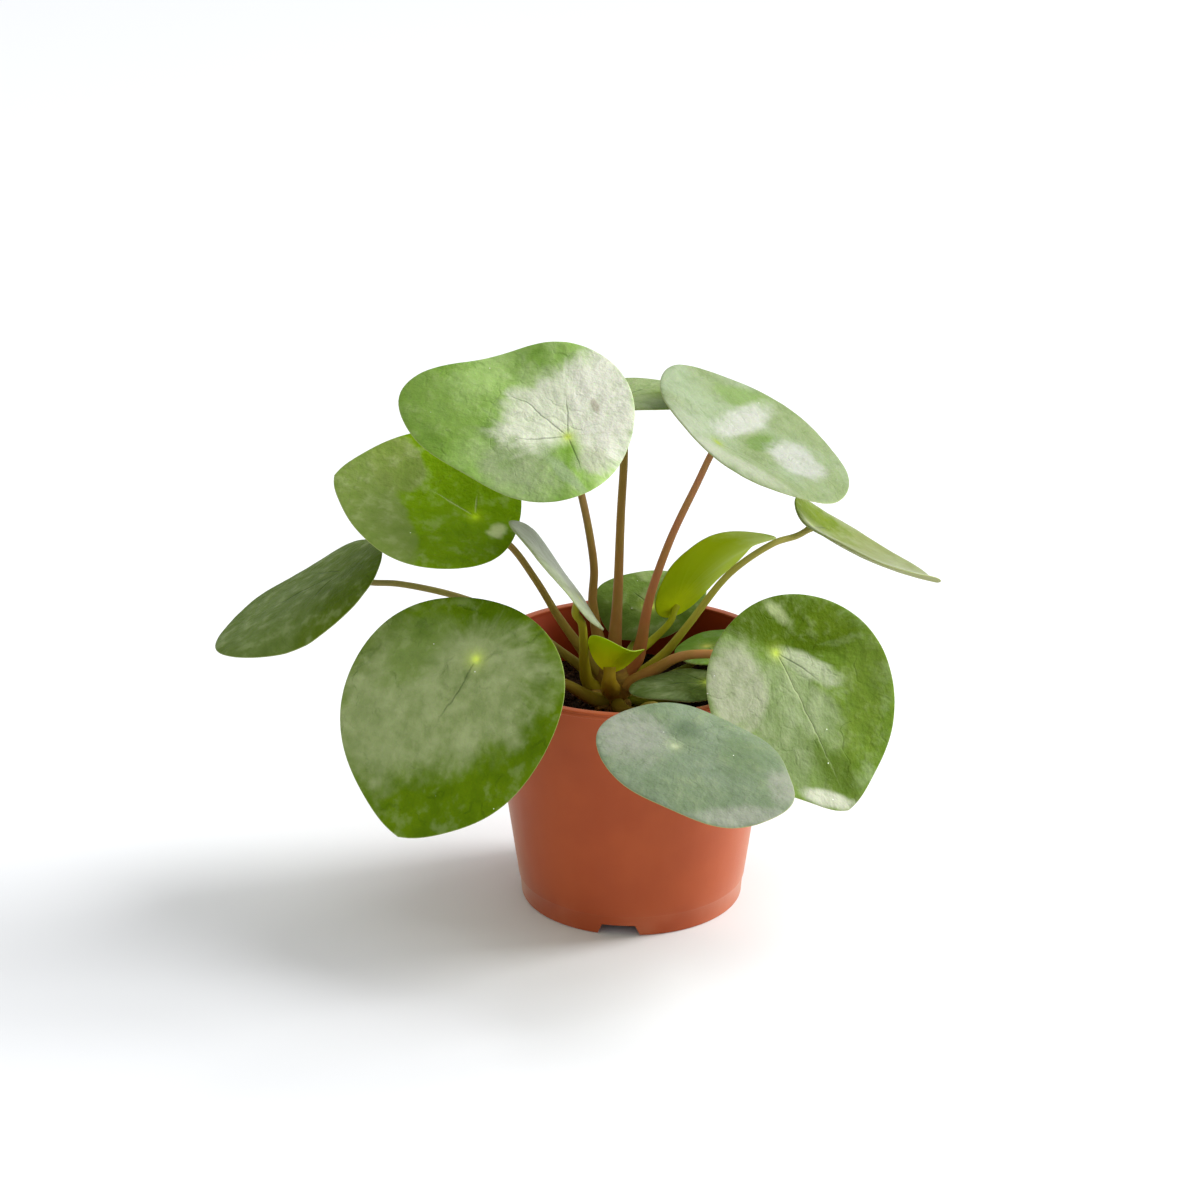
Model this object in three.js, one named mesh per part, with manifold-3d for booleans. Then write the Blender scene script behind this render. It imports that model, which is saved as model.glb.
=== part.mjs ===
// A potted pilea plant: round leaves on long stalks, growing from one short stem in a plain plastic
// nursery pot. Millimetres, +Z up, +Y away from the front. The origin is the centre of the pot's
// underside, which the pot stands on.

import * as THREE from 'three';
import { mergeVertices } from 'three/addons/utils/BufferGeometryUtils.js';
import Module from 'manifold-3d';

const wasm = await Module();
wasm.setup();

// Pot: a thin moulded shell with a flat lip, a faint step near its foot, and three drainage channels
// that run in under the floor from notches in the foot.
const POT = {
  height: 101,
  footRadius: 44,
  wallTopRadius: 57.6,
  lipRadius: 60,
  lipHeight: 2.3,
  edgeRound: 0.5,
  wall: 1.4,
  floor: 1.6,
  stepHeight: 8.6,
  stepDepth: 0.5,
  segments: 56,
};
const CHANNEL = {
  count: 3,
  firstAngle: -97,
  footWidth: 17,
  topWidth: 13,
  height: 4.5,
  innerRadius: 15,
  drainRadius: 3.5,
  drainAt: 31,
  drainSides: 16,
};

// Soil: fills the pot to a finger's width below the rim, with a lumpy top and a plain hole for the
// stem. ripples: how fast each runs outwards in radians a millimetre, and its lobes round the middle.
const SOIL = {
  top: 80,
  relief: 1.1,
  ripples: [{ outwards: 0.31, lobes: 3 }, { outwards: 0.17, lobes: -5 }],
  calmRadius: 12,
  clearance: 0.45,
  rings: 5,
  sectors: 36,
};

// Stem: short and stout, with the stalks growing out of its crown.
const STEM = {
  x: -7,
  y: 0,
  foot: 58,
  heights: [58, 76, 84, 92, 97, 100],
  radii: [4.6, 4.6, 5.4, 5.8, 5.0, 2.6],
  steps: 12,
  sides: 16,
};

// Clearance between pieces that touch on the real plant, how far a cutting body runs past the faces
// it cuts, and the distance within which corners are one.
const GAP = 0.3;
const OVERREACH = 5;
const SAME_POINT = 0.0001;

// Blades: a thin sheet laid on rings and sectors round the point where the stalk meets it. Dimple,
// edge drop and wave are given for a blade of the reference length.
const BLADE = {
  thickness: 0.9,
  rings: [0, 0.2, 0.5, 0.8, 1],
  sectors: 24,
  pointSpread: 0.32,
  foldSoftness: 0.1,
  rollSpread: 0.6,
  rollPower: 3,
  referenceLength: 90,
  dimpleDepth: 1.2,
  dimpleReach: 0.12,
  edgeDrop: 0.8,
  dropPower: 6,
  waves: 5,
  waveHeight: 0.7,
  wavePower: 4,
  wavePhase: 1.7,
};

// Stalks: neck is the length over which a stalk turns towards its blade, and uprightness how far.
const STALK = { sides: 8, steps: 12, neck: 6, uprightness: 0.35 };

// Leaves. at: where the blade's upper face meets the stalk. facing and tilt: the compass angle and
// the height angle of the way its upper face looks. turn: how far the pointed end is turned from
// straight downhill. stalkAt: the share of the length behind the stalk.
// Outline shares: point, skew, egg and lean. Form shares of the length: bend along the midrib, curl
// towards the point, cup across, twist, fold along the midrib, and roll of the edge at rollAt.
// route: points that the stalk runs through on its way up. thick: the stalk's width at foot and tip.
const LEAVES = [
  {
    name: 'top_left', at: [-24.8, -21.9, 199.3], facing: -76.7, tilt: 53.3, turn: -121.2,
    length: 95.8, width: 80.4, stalkAt: 0.3, point: 0.078, skew: 0.034, egg: 0.066, lean: 0.007,
    bend: 0.077, cup: -0.016, curl: 0.167, fold: -0.161, twist: -0.157, roll: 0.099, rollAt: -45,
    route: [[-8, 1.5, 94], [-12, 3.5, 102], [-15.4, 5, 120], [-14.9, 1, 136], [-16.1, -5, 150],
            [-19.6, -15, 173]],
    thick: [3.9, 2.8],
  },
  {
    name: 'upper_left', at: [-60.4, -11.9, 163.3], facing: -79.2, tilt: 60.9, turn: -118.3,
    length: 75.8, width: 74.6, stalkAt: 0.24, point: 0.119, skew: -0.028, egg: 0.014, lean: 0.005,
    bend: 0.018, cup: -0.104, curl: 0.034, fold: -0.081, twist: 0.109, roll: -0.019, rollAt: 117,
    route: [[-9, 0, 90], [-14.5, 0.5, 95.5], [-21, 1.5, 104.5], [-28.6, 0, 116.6], [-37.6, -5, 134.6],
            [-47.6, -9, 150.6]],
    thick: [3.7, 2.6],
  },
  {
    name: 'far_left', at: [-112.7, -1.5, 136.7], facing: 182.4, tilt: 57.1, turn: -7.2,
    length: 80.9, width: 74.4, stalkAt: 0.27, point: 0.031, skew: -0.01, egg: 0.031, lean: 0.068,
    bend: -0.063, cup: 0.232, curl: 0.013, fold: -0.002, twist: -0.021, roll: 0.06, rollAt: 91,
    route: [[-9, 2, 84], [-17, 5, 91], [-27, 5, 99.5], [-44, 3, 113.5], [-67, 1, 124.8], [-91, -1, 131.3],
            [-101, -1.5, 132]],
    thick: [3.4, 2.4],
  },
  {
    name: 'front_left', at: [-59.3, -55, 122.1], facing: -106.5, tilt: 38.3, turn: -16,
    length: 97.3, width: 89.6, stalkAt: 0.26, point: 0.075, skew: -0.012, egg: 0.017, lean: 0.008,
    bend: 0.023, cup: 0.016, curl: 0.205, fold: -0.041, twist: 0.038, roll: -0.066, rollAt: 108,
    route: [[-9, -2.5, 83], [-15, -10.5, 86.5], [-25, -19, 96], [-38, -29, 106], [-50, -39, 112]],
    thick: [4.4, 3.2],
  },
  {
    name: 'front', at: [15, -106.4, 109.1], facing: -52, tilt: 74, turn: 25,
    length: 77, width: 69, stalkAt: 0.36, point: 0.08, skew: -0.01, egg: 0, lean: -0.05,
    bend: 0.03, cup: 0.05, curl: 0.03, fold: 0.04, twist: 0.08, roll: 0.07, rollAt: 80,
    route: [[-6.5, -3, 84], [-4, -14, 86], [1.5, -32, 93], [6, -48, 101], [9, -59, 104], [13, -85, 103]],
    thick: [4.2, 3],
  },
  {
    name: 'front_right', at: [54.4, -42.1, 119.3], facing: -57.6, tilt: 32.3, turn: 11.2,
    length: 87.7, width: 82.4, stalkAt: 0.25, point: 0.125, skew: 0.01, egg: 0.016, lean: 0.023,
    bend: 0.053, cup: -0.026, curl: 0.014, fold: -0.086, twist: -0.023, roll: -0.067, rollAt: 88,
    route: [[-5, -2.5, 86.5], [2.5, -6.8, 93.5], [10, -10, 99.5], [16, -14, 105], [23, -19, 109],
            [37, -26, 112]],
    thick: [4.4, 3.2],
  },
  {
    name: 'top_right', at: [32.5, -2.9, 190.1], facing: -4.9, tilt: 58.5, turn: 58,
    length: 86.6, width: 87.2, stalkAt: 0.19, point: 0.075, skew: 0.005, egg: 0.004, lean: -0.013,
    bend: -0.171, cup: 0.02, curl: 0.11, fold: -0.098, twist: 0.01, roll: -0.026, rollAt: 0,
    route: [[-4, 0, 92.5], [1.5, -0.5, 99], [3.4, -1, 106], [6.6, -1, 124.5], [14.6, -2, 150], [25.4, -3, 175]],
    thick: [4, 2.4],
  },
  {
    name: 'far_right', at: [70.7, 19.4, 147.6], facing: 12.8, tilt: 48.5, turn: 3.2,
    length: 63.6, width: 65.5, stalkAt: 0.1, point: -0.012, skew: -0.033, egg: 0.01, lean: 0.066,
    bend: -0.229, cup: -0.178, curl: -0.08, fold: -0.125, twist: -0.226, roll: 0.041, rollAt: 0,
    route: [[-5, 2, 86], [3, 3.5, 91], [12, 4, 98.9], [22, 1, 113.3], [38, 5.5, 133], [55, 9.6, 145.9]],
    thick: [3.8, 2.5],
  },
  {
    name: 'top_back', at: [-3.1, 40.1, 194.3], facing: 82.6, tilt: 84.7, turn: 16.4,
    length: 61.5, width: 57.4, stalkAt: 0.31, point: 0.056, skew: 0.034, egg: -0.001, lean: -0.03,
    bend: 0.068, cup: -0.044, curl: -0.015, fold: 0.109, twist: -0.158, roll: 0.036, rollAt: 0,
    route: [[-5, 1, 92], [-6.3, 4.5, 100], [-5.8, 6, 107], [-4.9, 11, 120], [-3.8, 23, 151], [-2.8, 33, 172]],
    thick: [3.8, 2.5],
  },
  {
    name: 'young_right', at: [16.6, 26.6, 110.7], facing: 131.8, tilt: 23.9, turn: -155.7,
    length: 55.4, width: 39.4, stalkAt: 0.08, point: 0.04, skew: -0.019, egg: -0.022, lean: -0.05,
    bend: 0.185, cup: -0.36, curl: 0.039, fold: 0.013, twist: 0.033, roll: 0.144, rollAt: 0,
    route: [[-5, 4, 91], [0, 9, 96.5], [7, 16, 99.5]],
    thick: [3.2, 2.4],
  },
  {
    name: 'back_low', at: [7.7, 38.1, 106.1], facing: -90.4, tilt: 70.3, turn: 175.5,
    length: 43.4, width: 42.1, stalkAt: 0.34, point: 0.072, skew: -0.048, egg: -0.05, lean: -0.04,
    bend: 0.267, cup: 0.02, curl: 0.039, fold: 0.002, twist: -0.045, roll: 0.167, rollAt: 137,
    route: [[-8, 3, 86], [-5, 16, 88.5], [4, 34, 97]],
    thick: [3.2, 2.4],
  },
  {
    name: 'right_low', at: [29.5, 7.4, 101.4], facing: 180, tilt: 84, turn: 150,
    length: 38, width: 36, stalkAt: 0.32, point: 0.06, skew: 0, egg: 0, lean: 0,
    bend: 0.03, cup: -0.1, curl: 0.05, fold: 0, twist: 0, roll: 0.05, rollAt: 27,
    route: [[-5, 0, 83.5], [3, 1, 85.5], [14, 4, 90]],
    thick: [3, 2.2],
  },
  {
    name: 'front_low', at: [29, -24.5, 99.5], facing: -78, tilt: 88, turn: -98,
    length: 44, width: 30, stalkAt: 0.3, point: 0.06, skew: 0, egg: 0.02, lean: 0,
    bend: 0.08, cup: 0.07, curl: 0.04, fold: 0.03, twist: 0.05, roll: 0, rollAt: 0,
    route: [[-4, -2, 82.5], [4, -7, 84], [15, -16, 88]],
    thick: [3, 2.2],
  },
  {
    name: 'bud', at: [-9, -14, 101.4], facing: 95, tilt: 21, turn: 205,
    length: 20, width: 25, stalkAt: 0.1, point: 0.06, skew: 0, egg: 0, lean: 0,
    bend: 0.4, cup: -0.7, curl: 0, fold: -0.3, twist: 0.05, roll: 0, rollAt: 0,
    route: [[-7, -3, 89], [-8.5, -10, 91.5], [-9, -15, 96]],
    thick: [2.4, 2],
  },
  {
    name: 'inner_left', at: [-20.2, -28.3, 135.4], facing: 11.9, tilt: 35.2, turn: 173.1,
    length: 56.6, width: 47.3, stalkAt: 0.27, point: 0.058, skew: -0.025, egg: 0.013, lean: -0.029,
    bend: 0, cup: 0.15, curl: -0.014, fold: -0.066, twist: -0.134, roll: 0.069, rollAt: 0,
    route: [[-9, -1.5, 87], [-14, -3.6, 90.5], [-18.5, -8.5, 100], [-20.5, -15, 112], [-21.4, -21.5, 123]],
    thick: [4, 3],
  },
];

const COLOURS = {
  pot: { color: '#a85a3c', roughness: 0.5, metalness: 0 },
  soil: { color: '#2b1d12', roughness: 1, metalness: 0 },
  stem: { color: '#6b6130', roughness: 0.7, metalness: 0 },
  stalk: { color: '#8a6a3a', roughness: 0.5, metalness: 0 },
  blade: { color: '#4c7f25', roughness: 0.35, metalness: 0 },
  youngBlade: { color: '#8aa312', roughness: 0.4, metalness: 0 },
};
const YOUNG_LEAVES = ['young_right', 'bud'];

const plant = new THREE.Group();

function addPiece(name, geometry, colour) {
  geometry.computeVertexNormals();
  const mesh = new THREE.Mesh(geometry, new THREE.MeshStandardMaterial(COLOURS[colour]));
  mesh.name = name;
  plant.add(mesh);
}

function radians(degrees) {
  return THREE.MathUtils.degToRad(degrees);
}

// A geometry with shared corners and no collapsed triangles, as a boolean needs it.
function weld(geometry) {
  geometry.deleteAttribute('normal');
  geometry.deleteAttribute('uv');
  const merged = mergeVertices(geometry, SAME_POINT);
  const corners = merged.index.array;
  const kept = [];
  for (let i = 0; i < corners.length; i += 3) {
    const [a, b, c] = corners.slice(i, i + 3);
    if (a !== b && b !== c && c !== a) kept.push(a, b, c);
  }
  merged.setIndex(kept);
  return merged;
}

function toSolid(geometry) {
  const welded = weld(geometry);
  return new wasm.Manifold(new wasm.Mesh({
    numProp: 3,
    vertProperties: new Float32Array(welded.attributes.position.array),
    triVerts: new Uint32Array(welded.index.array),
  }));
}

function toGeometry(solid) {
  const mesh = solid.getMesh();
  const geometry = new THREE.BufferGeometry();
  geometry.setAttribute('position', new THREE.BufferAttribute(mesh.vertProperties, 3));
  geometry.setIndex(new THREE.BufferAttribute(mesh.triVerts, 1));
  return geometry;
}

// A closed body between two sheets that share one fan of rings and sectors, so that both faces are
// split into triangles alike. Each sheet gives a point for a share of the way out and an angle.
function sheetSolid(upper, lower, rings, sectors) {
  const corners = [];
  const faces = [];
  const ringCount = rings.length - 1;
  const rowStart = [];
  for (const sheet of [upper, lower]) {
    rowStart.push(corners.length);
    corners.push(sheet(0, 0));
    for (const share of rings.slice(1)) {
      for (let s = 0; s < sectors; s++) corners.push(sheet(share, (2 * Math.PI * s) / sectors));
    }
  }
  const inRow = (ring, s) => (ring === 0 ? 0 : 1 + (ring - 1) * sectors + (s % sectors));
  const corner = (side, ring, s) => rowStart[side] + inRow(ring, s);
  const addFace = (side, a, b, c) => faces.push(...(side === 0 ? [a, b, c] : [a, c, b]));
  for (const side of [0, 1]) {
    for (let s = 0; s < sectors; s++) {
      addFace(side, corner(side, 0, 0), corner(side, 1, s), corner(side, 1, s + 1));
      for (let ring = 1; ring < ringCount; ring++) {
        addFace(side, corner(side, ring, s), corner(side, ring + 1, s), corner(side, ring + 1, s + 1));
        addFace(side, corner(side, ring, s), corner(side, ring + 1, s + 1), corner(side, ring, s + 1));
      }
    }
  }
  for (let s = 0; s < sectors; s++) {
    const [a, b] = [corner(0, ringCount, s), corner(0, ringCount, s + 1)];
    const [c, d] = [corner(1, ringCount, s), corner(1, ringCount, s + 1)];
    faces.push(a, c, d, a, d, b);
  }
  return closedGeometry(corners, faces);
}

function closedGeometry(corners, faces) {
  const geometry = new THREE.BufferGeometry();
  geometry.setFromPoints(corners);
  geometry.setIndex(faces);
  return geometry;
}

// A closed tube with a radius of its own at every step along a curve. trim moves the last ring.
function taperedTube(curve, radiusAt, steps, sides, trim = (point) => point) {
  const frames = curve.computeFrenetFrames(steps, false);
  const corners = [];
  const faces = [];
  for (let i = 0; i <= steps; i++) {
    const centre = curve.getPointAt(i / steps);
    for (let s = 0; s < sides; s++) {
      const angle = (2 * Math.PI * s) / sides;
      const radius = radiusAt(i / steps);
      const point = centre.clone()
        .addScaledVector(frames.normals[i], radius * Math.cos(angle))
        .addScaledVector(frames.binormals[i], radius * Math.sin(angle));
      corners.push(i === steps ? trim(point) : point);
    }
  }
  for (let i = 0; i < steps; i++) {
    for (let s = 0; s < sides; s++) {
      const [a, b] = [i * sides + s, i * sides + ((s + 1) % sides)];
      const [c, d] = [a + sides, b + sides];
      faces.push(a, b, d, a, d, c);
    }
  }
  const last = steps * sides;
  for (let s = 1; s < sides - 1; s++) {
    faces.push(0, s + 1, s);
    faces.push(last, last + s, last + s + 1);
  }
  return closedGeometry(corners, faces);
}

// Pot
function turned(profile, segments) {
  const points = profile.map(([radius, height]) => new THREE.Vector2(radius, height));
  return toSolid(new THREE.LatheGeometry(points, segments).rotateX(Math.PI / 2));
}

function wallRadius(height) {
  const rise = (height - POT.stepHeight) / (POT.height - POT.lipHeight - POT.stepHeight);
  const base = POT.footRadius + (POT.wallTopRadius - POT.footRadius) * (POT.stepHeight / POT.height);
  return base + (POT.wallTopRadius - base) * rise;
}

function innerRadius(height) {
  const { footRadius, wallTopRadius, lipHeight, stepHeight, stepDepth, wall } = POT;
  const rise = (height - stepHeight) / (POT.height - lipHeight - stepHeight);
  const foot = wallRadius(stepHeight) - wall - stepDepth;
  return foot + (wallTopRadius - wall - foot) * rise;
}

// A radial bar through the foot and under the floor, wider at its foot than at its top.
function channelBar(angle, outset) {
  const [foot, top] = [CHANNEL.footWidth / 2 + outset, CHANNEL.topWidth / 2 + outset];
  const height = CHANNEL.height + outset;
  const section = new THREE.Shape([
    new THREE.Vector2(-foot, -OVERREACH),
    new THREE.Vector2(foot, -OVERREACH),
    new THREE.Vector2(foot, 0),
    new THREE.Vector2(top, height),
    new THREE.Vector2(-top, height),
    new THREE.Vector2(-foot, 0),
  ]);
  const start = CHANNEL.innerRadius - outset;
  const depth = POT.footRadius + OVERREACH - start;
  const bar = new THREE.ExtrudeGeometry(section, { depth, bevelEnabled: false });
  bar.rotateX(Math.PI / 2).rotateZ(Math.PI / 2).translate(start, 0, 0).rotateZ(radians(angle));
  return toSolid(bar);
}

function channelAngles() {
  return Array.from({ length: CHANNEL.count }, (_, i) => CHANNEL.firstAngle + (i * 360) / CHANNEL.count);
}

function makePot() {
  const { height, footRadius, lipRadius, lipHeight, edgeRound, wall, stepHeight, stepDepth } = POT;
  const lipFoot = height - lipHeight;
  const outside = turned([
    [0, 0],
    [footRadius - edgeRound, 0],
    [footRadius, edgeRound],
    [wallRadius(stepHeight) - stepDepth, stepHeight - stepDepth],
    [wallRadius(stepHeight), stepHeight],
    [POT.wallTopRadius, lipFoot],
    [lipRadius - edgeRound, lipFoot + edgeRound],
    [lipRadius, lipFoot + 2 * edgeRound],
    [lipRadius, height - edgeRound],
    [lipRadius - edgeRound, height],
    [0, height],
  ], POT.segments);
  const mouthRadius = POT.wallTopRadius - wall + edgeRound;
  const inside = turned([
    [0, POT.floor],
    [footRadius - wall - edgeRound, POT.floor],
    [wallRadius(stepHeight) - wall - stepDepth, stepHeight],
    [POT.wallTopRadius - wall, lipFoot],
    [mouthRadius, height],
    [mouthRadius, height + OVERREACH],
    [0, height + OVERREACH],
  ], POT.segments);
  let pot = outside.subtract(inside);
  for (const angle of channelAngles()) {
    pot = pot.add(channelBar(angle, wall).intersect(outside));
  }
  for (const angle of channelAngles()) {
    const drainLength = 2 * CHANNEL.height;
    const drain = new THREE.CylinderGeometry(
      CHANNEL.drainRadius, CHANNEL.drainRadius, drainLength, CHANNEL.drainSides,
    );
    drain.rotateX(Math.PI / 2).translate(CHANNEL.drainAt, 0, CHANNEL.height).rotateZ(radians(angle));
    pot = pot.subtract(channelBar(angle, 0)).subtract(toSolid(drain));
  }
  return pot;
}

// Soil
function soilSurface(radius, angle) {
  const waves = SOIL.ripples.map(({ outwards, lobes }) => Math.sin(outwards * radius + lobes * angle));
  const lump = waves.reduce((sum, wave) => sum + wave, 0) / waves.length;
  return SOIL.top + SOIL.relief * lump * Math.min(1, radius / SOIL.calmRadius);
}

function makeSoil(stemHole) {
  const bottom = POT.floor + GAP;
  const shoulder = SOIL.top - 2 * SOIL.relief;
  const topRadius = innerRadius(shoulder) - SOIL.clearance;
  const stepRadius = innerRadius(POT.stepHeight) - SOIL.clearance;
  const bottomRadius = POT.footRadius - POT.wall - POT.edgeRound - SOIL.clearance;
  const rings = Array.from({ length: SOIL.rings + 1 }, (_, i) => i / SOIL.rings);
  const cap = sheetSolid(
    (share, angle) => new THREE.Vector3(
      topRadius * share * Math.cos(angle),
      topRadius * share * Math.sin(angle),
      soilSurface(topRadius * share, angle),
    ),
    (share, angle) => new THREE.Vector3(
      topRadius * share * Math.cos(angle),
      topRadius * share * Math.sin(angle),
      shoulder,
    ),
    rings,
    SOIL.sectors,
  );
  const body = turned([
    [0, bottom],
    [bottomRadius, bottom],
    [stepRadius, POT.stepHeight],
    [topRadius, shoulder],
    [0, shoulder],
  ], SOIL.sectors);
  let soil = body.add(toSolid(cap)).subtract(stemHole);
  for (const angle of channelAngles()) {
    soil = soil.subtract(channelBar(angle, POT.wall + GAP));
  }
  return soil;
}

// Stem
function makeStem(outset) {
  const { heights, radii } = STEM;
  const top = heights.at(-1) + outset;
  const foot = STEM.foot - outset;
  const curve = new THREE.LineCurve3(
    new THREE.Vector3(STEM.x, STEM.y, foot),
    new THREE.Vector3(STEM.x, STEM.y, top),
  );
  const radiusAt = (share) => {
    const height = THREE.MathUtils.clamp(foot + share * (top - foot), STEM.foot, heights.at(-1));
    const next = Math.max(1, heights.findIndex((value) => value >= height));
    const part = (height - heights[next - 1]) / (heights[next] - heights[next - 1]);
    return THREE.MathUtils.lerp(radii[next - 1], radii[next], part) + outset;
  };
  return taperedTube(curve, radiusAt, STEM.steps, STEM.sides);
}

// Leaves
function leafAxes(leaf) {
  const [facing, tilt, turn] = [leaf.facing, leaf.tilt, leaf.turn].map(radians);
  const normal = new THREE.Vector3(
    Math.cos(tilt) * Math.cos(facing),
    Math.cos(tilt) * Math.sin(facing),
    Math.sin(tilt),
  );
  const downhill = new THREE.Vector3(
    Math.sin(tilt) * Math.cos(facing),
    Math.sin(tilt) * Math.sin(facing),
    -Math.cos(tilt),
  );
  const sideways = normal.clone().cross(downhill);
  const along = downhill.multiplyScalar(Math.cos(turn)).addScaledVector(sideways, Math.sin(turn));
  const across = normal.clone().cross(along);
  return { along, across, normal };
}

// The blade's edge in its own plane, measured from the stalk: an oval with a short point.
function bladeEdge(leaf, angle) {
  const half = leaf.length / (2 + leaf.point);
  const wrapped = angle > Math.PI ? angle - 2 * Math.PI : angle;
  const oval = 1 / Math.hypot(Math.cos(angle) / half, Math.sin(angle) / (leaf.width / 2));
  const shape = 1
    + leaf.point * Math.exp(-((wrapped / BLADE.pointSpread) ** 2))
    + leaf.skew * Math.sin(2 * angle)
    + leaf.egg * (Math.cos(3 * angle) - 1)
    + leaf.lean * Math.sin(3 * angle);
  return {
    u: oval * shape * Math.cos(angle) + half - leaf.stalkAt * leaf.length,
    v: oval * shape * Math.sin(angle),
  };
}

// How far the upper face stands off the blade's plane.
function bladeHeight(leaf, u, v, share, angle, phase) {
  const [a, b] = [u / leaf.length, v / leaf.length];
  const foldShape = Math.hypot(b, BLADE.foldSoftness) - BLADE.foldSoftness;
  const fullTurn = 2 * Math.PI;
  const fromRoll = THREE.MathUtils.euclideanModulo(angle - radians(leaf.rollAt) + Math.PI, fullTurn) - Math.PI;
  const form = -leaf.bend * a ** 2 - leaf.cup * b ** 2 + leaf.twist * a * b - leaf.curl * a ** 3
    - leaf.fold * foldShape
    - leaf.roll * share ** BLADE.rollPower * Math.exp(-((fromRoll / BLADE.rollSpread) ** 2));
  const rise = BLADE.dimpleDepth * (1 - Math.exp(-Math.hypot(a, b) / BLADE.dimpleReach));
  const drop = BLADE.edgeDrop * share ** BLADE.dropPower;
  const wave = BLADE.waveHeight * share ** BLADE.wavePower * Math.cos(BLADE.waves * angle + phase);
  return leaf.length * (form + (rise - drop + wave) / BLADE.referenceLength);
}

function makeBlade(leaf, phase) {
  const { along, across, normal } = leafAxes(leaf);
  const face = (drop) => (share, angle) => {
    const edge = bladeEdge(leaf, angle);
    const [u, v] = [share * edge.u, share * edge.v];
    return new THREE.Vector3(...leaf.at)
      .addScaledVector(along, u)
      .addScaledVector(across, v)
      .addScaledVector(normal, bladeHeight(leaf, u, v, share, angle, phase) - drop);
  };
  return sheetSolid(face(0), face(BLADE.thickness), BLADE.rings, BLADE.sectors);
}

// A stalk leaves the stem's crown, follows its route and meets the blade's underside square on.
function makeStalk(leaf, stemWithGap) {
  const { normal } = leafAxes(leaf);
  const route = leaf.route.map((point) => new THREE.Vector3(...point));
  const end = new THREE.Vector3(...leaf.at).addScaledVector(normal, -BLADE.thickness - GAP);
  const approach = end.clone().sub(route.at(-1)).normalize();
  const arrival = approach.addScaledVector(normal, STALK.uprightness).normalize();
  const neckLength = Math.min(STALK.neck, end.distanceTo(route.at(-1)) / 2);
  const neck = end.clone().addScaledVector(arrival, -neckLength);
  const curve = new THREE.CatmullRomCurve3([...route, neck, end]);
  const [foot, tip] = leaf.thick;
  const tangent = curve.getTangentAt(1);
  const trim = (point) => {
    const outside = point.clone().sub(end).dot(normal) / tangent.dot(normal);
    return point.addScaledVector(tangent, -outside);
  };
  const tube = taperedTube(
    curve,
    (share) => THREE.MathUtils.lerp(foot, tip, Math.sqrt(share)) / 2,
    STALK.steps,
    STALK.sides,
    trim,
  );
  return toSolid(tube).subtract(stemWithGap);
}

const stemWithGap = toSolid(makeStem(GAP));
addPiece('pot', toGeometry(makePot()), 'pot');
addPiece('soil', toGeometry(makeSoil(stemWithGap)), 'soil');
addPiece('stem', makeStem(0), 'stem');
LEAVES.forEach((leaf, index) => {
  const colour = YOUNG_LEAVES.includes(leaf.name) ? 'youngBlade' : 'blade';
  addPiece(`stalk_${leaf.name}`, toGeometry(makeStalk(leaf, stemWithGap)), 'stalk');
  addPiece(`blade_${leaf.name}`, makeBlade(leaf, BLADE.wavePhase * index), colour);
});

export default plant;
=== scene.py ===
# %% [markdown]
# A potted pilea: round leaves on long stalks, a short stem, dark soil and a plain plastic pot. The
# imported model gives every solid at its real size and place. This script makes a finer piece for each
# of them, with its materials, and sets the floor, the light and the camera.

# %% Load the frame
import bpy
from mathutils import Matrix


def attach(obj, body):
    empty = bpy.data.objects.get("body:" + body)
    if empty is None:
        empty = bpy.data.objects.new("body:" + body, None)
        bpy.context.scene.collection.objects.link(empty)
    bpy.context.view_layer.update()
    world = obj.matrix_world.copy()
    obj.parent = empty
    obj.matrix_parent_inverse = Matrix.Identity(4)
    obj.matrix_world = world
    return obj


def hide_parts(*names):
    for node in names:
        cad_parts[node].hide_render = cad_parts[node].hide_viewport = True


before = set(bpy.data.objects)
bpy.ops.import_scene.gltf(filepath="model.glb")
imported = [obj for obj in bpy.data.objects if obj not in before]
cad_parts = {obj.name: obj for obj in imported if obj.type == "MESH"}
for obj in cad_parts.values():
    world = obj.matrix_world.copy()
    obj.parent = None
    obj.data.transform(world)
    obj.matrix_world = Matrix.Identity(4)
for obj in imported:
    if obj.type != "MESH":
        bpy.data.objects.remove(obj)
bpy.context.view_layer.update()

print("nodes:", len(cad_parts))

# %% Modules and units
import math

import bmesh
import bpy
from mathutils import Matrix, Vector

MM = 0.001


def rgb(code, alpha=1.0):
    """A colour written as #rrggbb, as the linear values that Blender's sockets take."""
    parts = [int(code[i:i + 2], 16) / 255 for i in (1, 3, 5)]
    linear = [c / 12.92 if c <= 0.04045 else ((c + 0.055) / 1.055) ** 2.4 for c in parts]
    return (*linear, alpha)


print("a plain mid grey is", [round(c, 3) for c in rgb("#808080")])

# %% [markdown]
# Node trees grow long when every sum is a node that is placed and linked by hand. A small class that
# wraps a socket lets Python write them as sums: each operator adds its Math node. One other class
# holds the tree, and its one method adds every other kind of node. Both work for materials and for
# Geometry Nodes.

# %% Sums on sockets
class Wire:
    """A node's output that Python can do sums with."""

    def __init__(self, board, socket):
        self.board = board
        self.socket = socket

    def __add__(self, other):
        return self.board.math("ADD", self, other)

    def __sub__(self, other):
        return self.board.math("SUBTRACT", self, other)

    def __rsub__(self, other):
        return self.board.math("SUBTRACT", other, self)

    def __mul__(self, other):
        return self.board.math("MULTIPLY", self, other)

    def __truediv__(self, other):
        return self.board.math("DIVIDE", self, other)

    def __rtruediv__(self, other):
        return self.board.math("DIVIDE", other, self)

    def __pow__(self, other):
        return self.board.math("POWER", self, other)

    def __neg__(self):
        return self.board.math("SUBTRACT", 0.0, self)

    __radd__ = __add__
    __rmul__ = __mul__

    def output(self, name):
        """Another output of the same node."""
        return Wire(self.board, self.socket.node.outputs[name])


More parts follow.
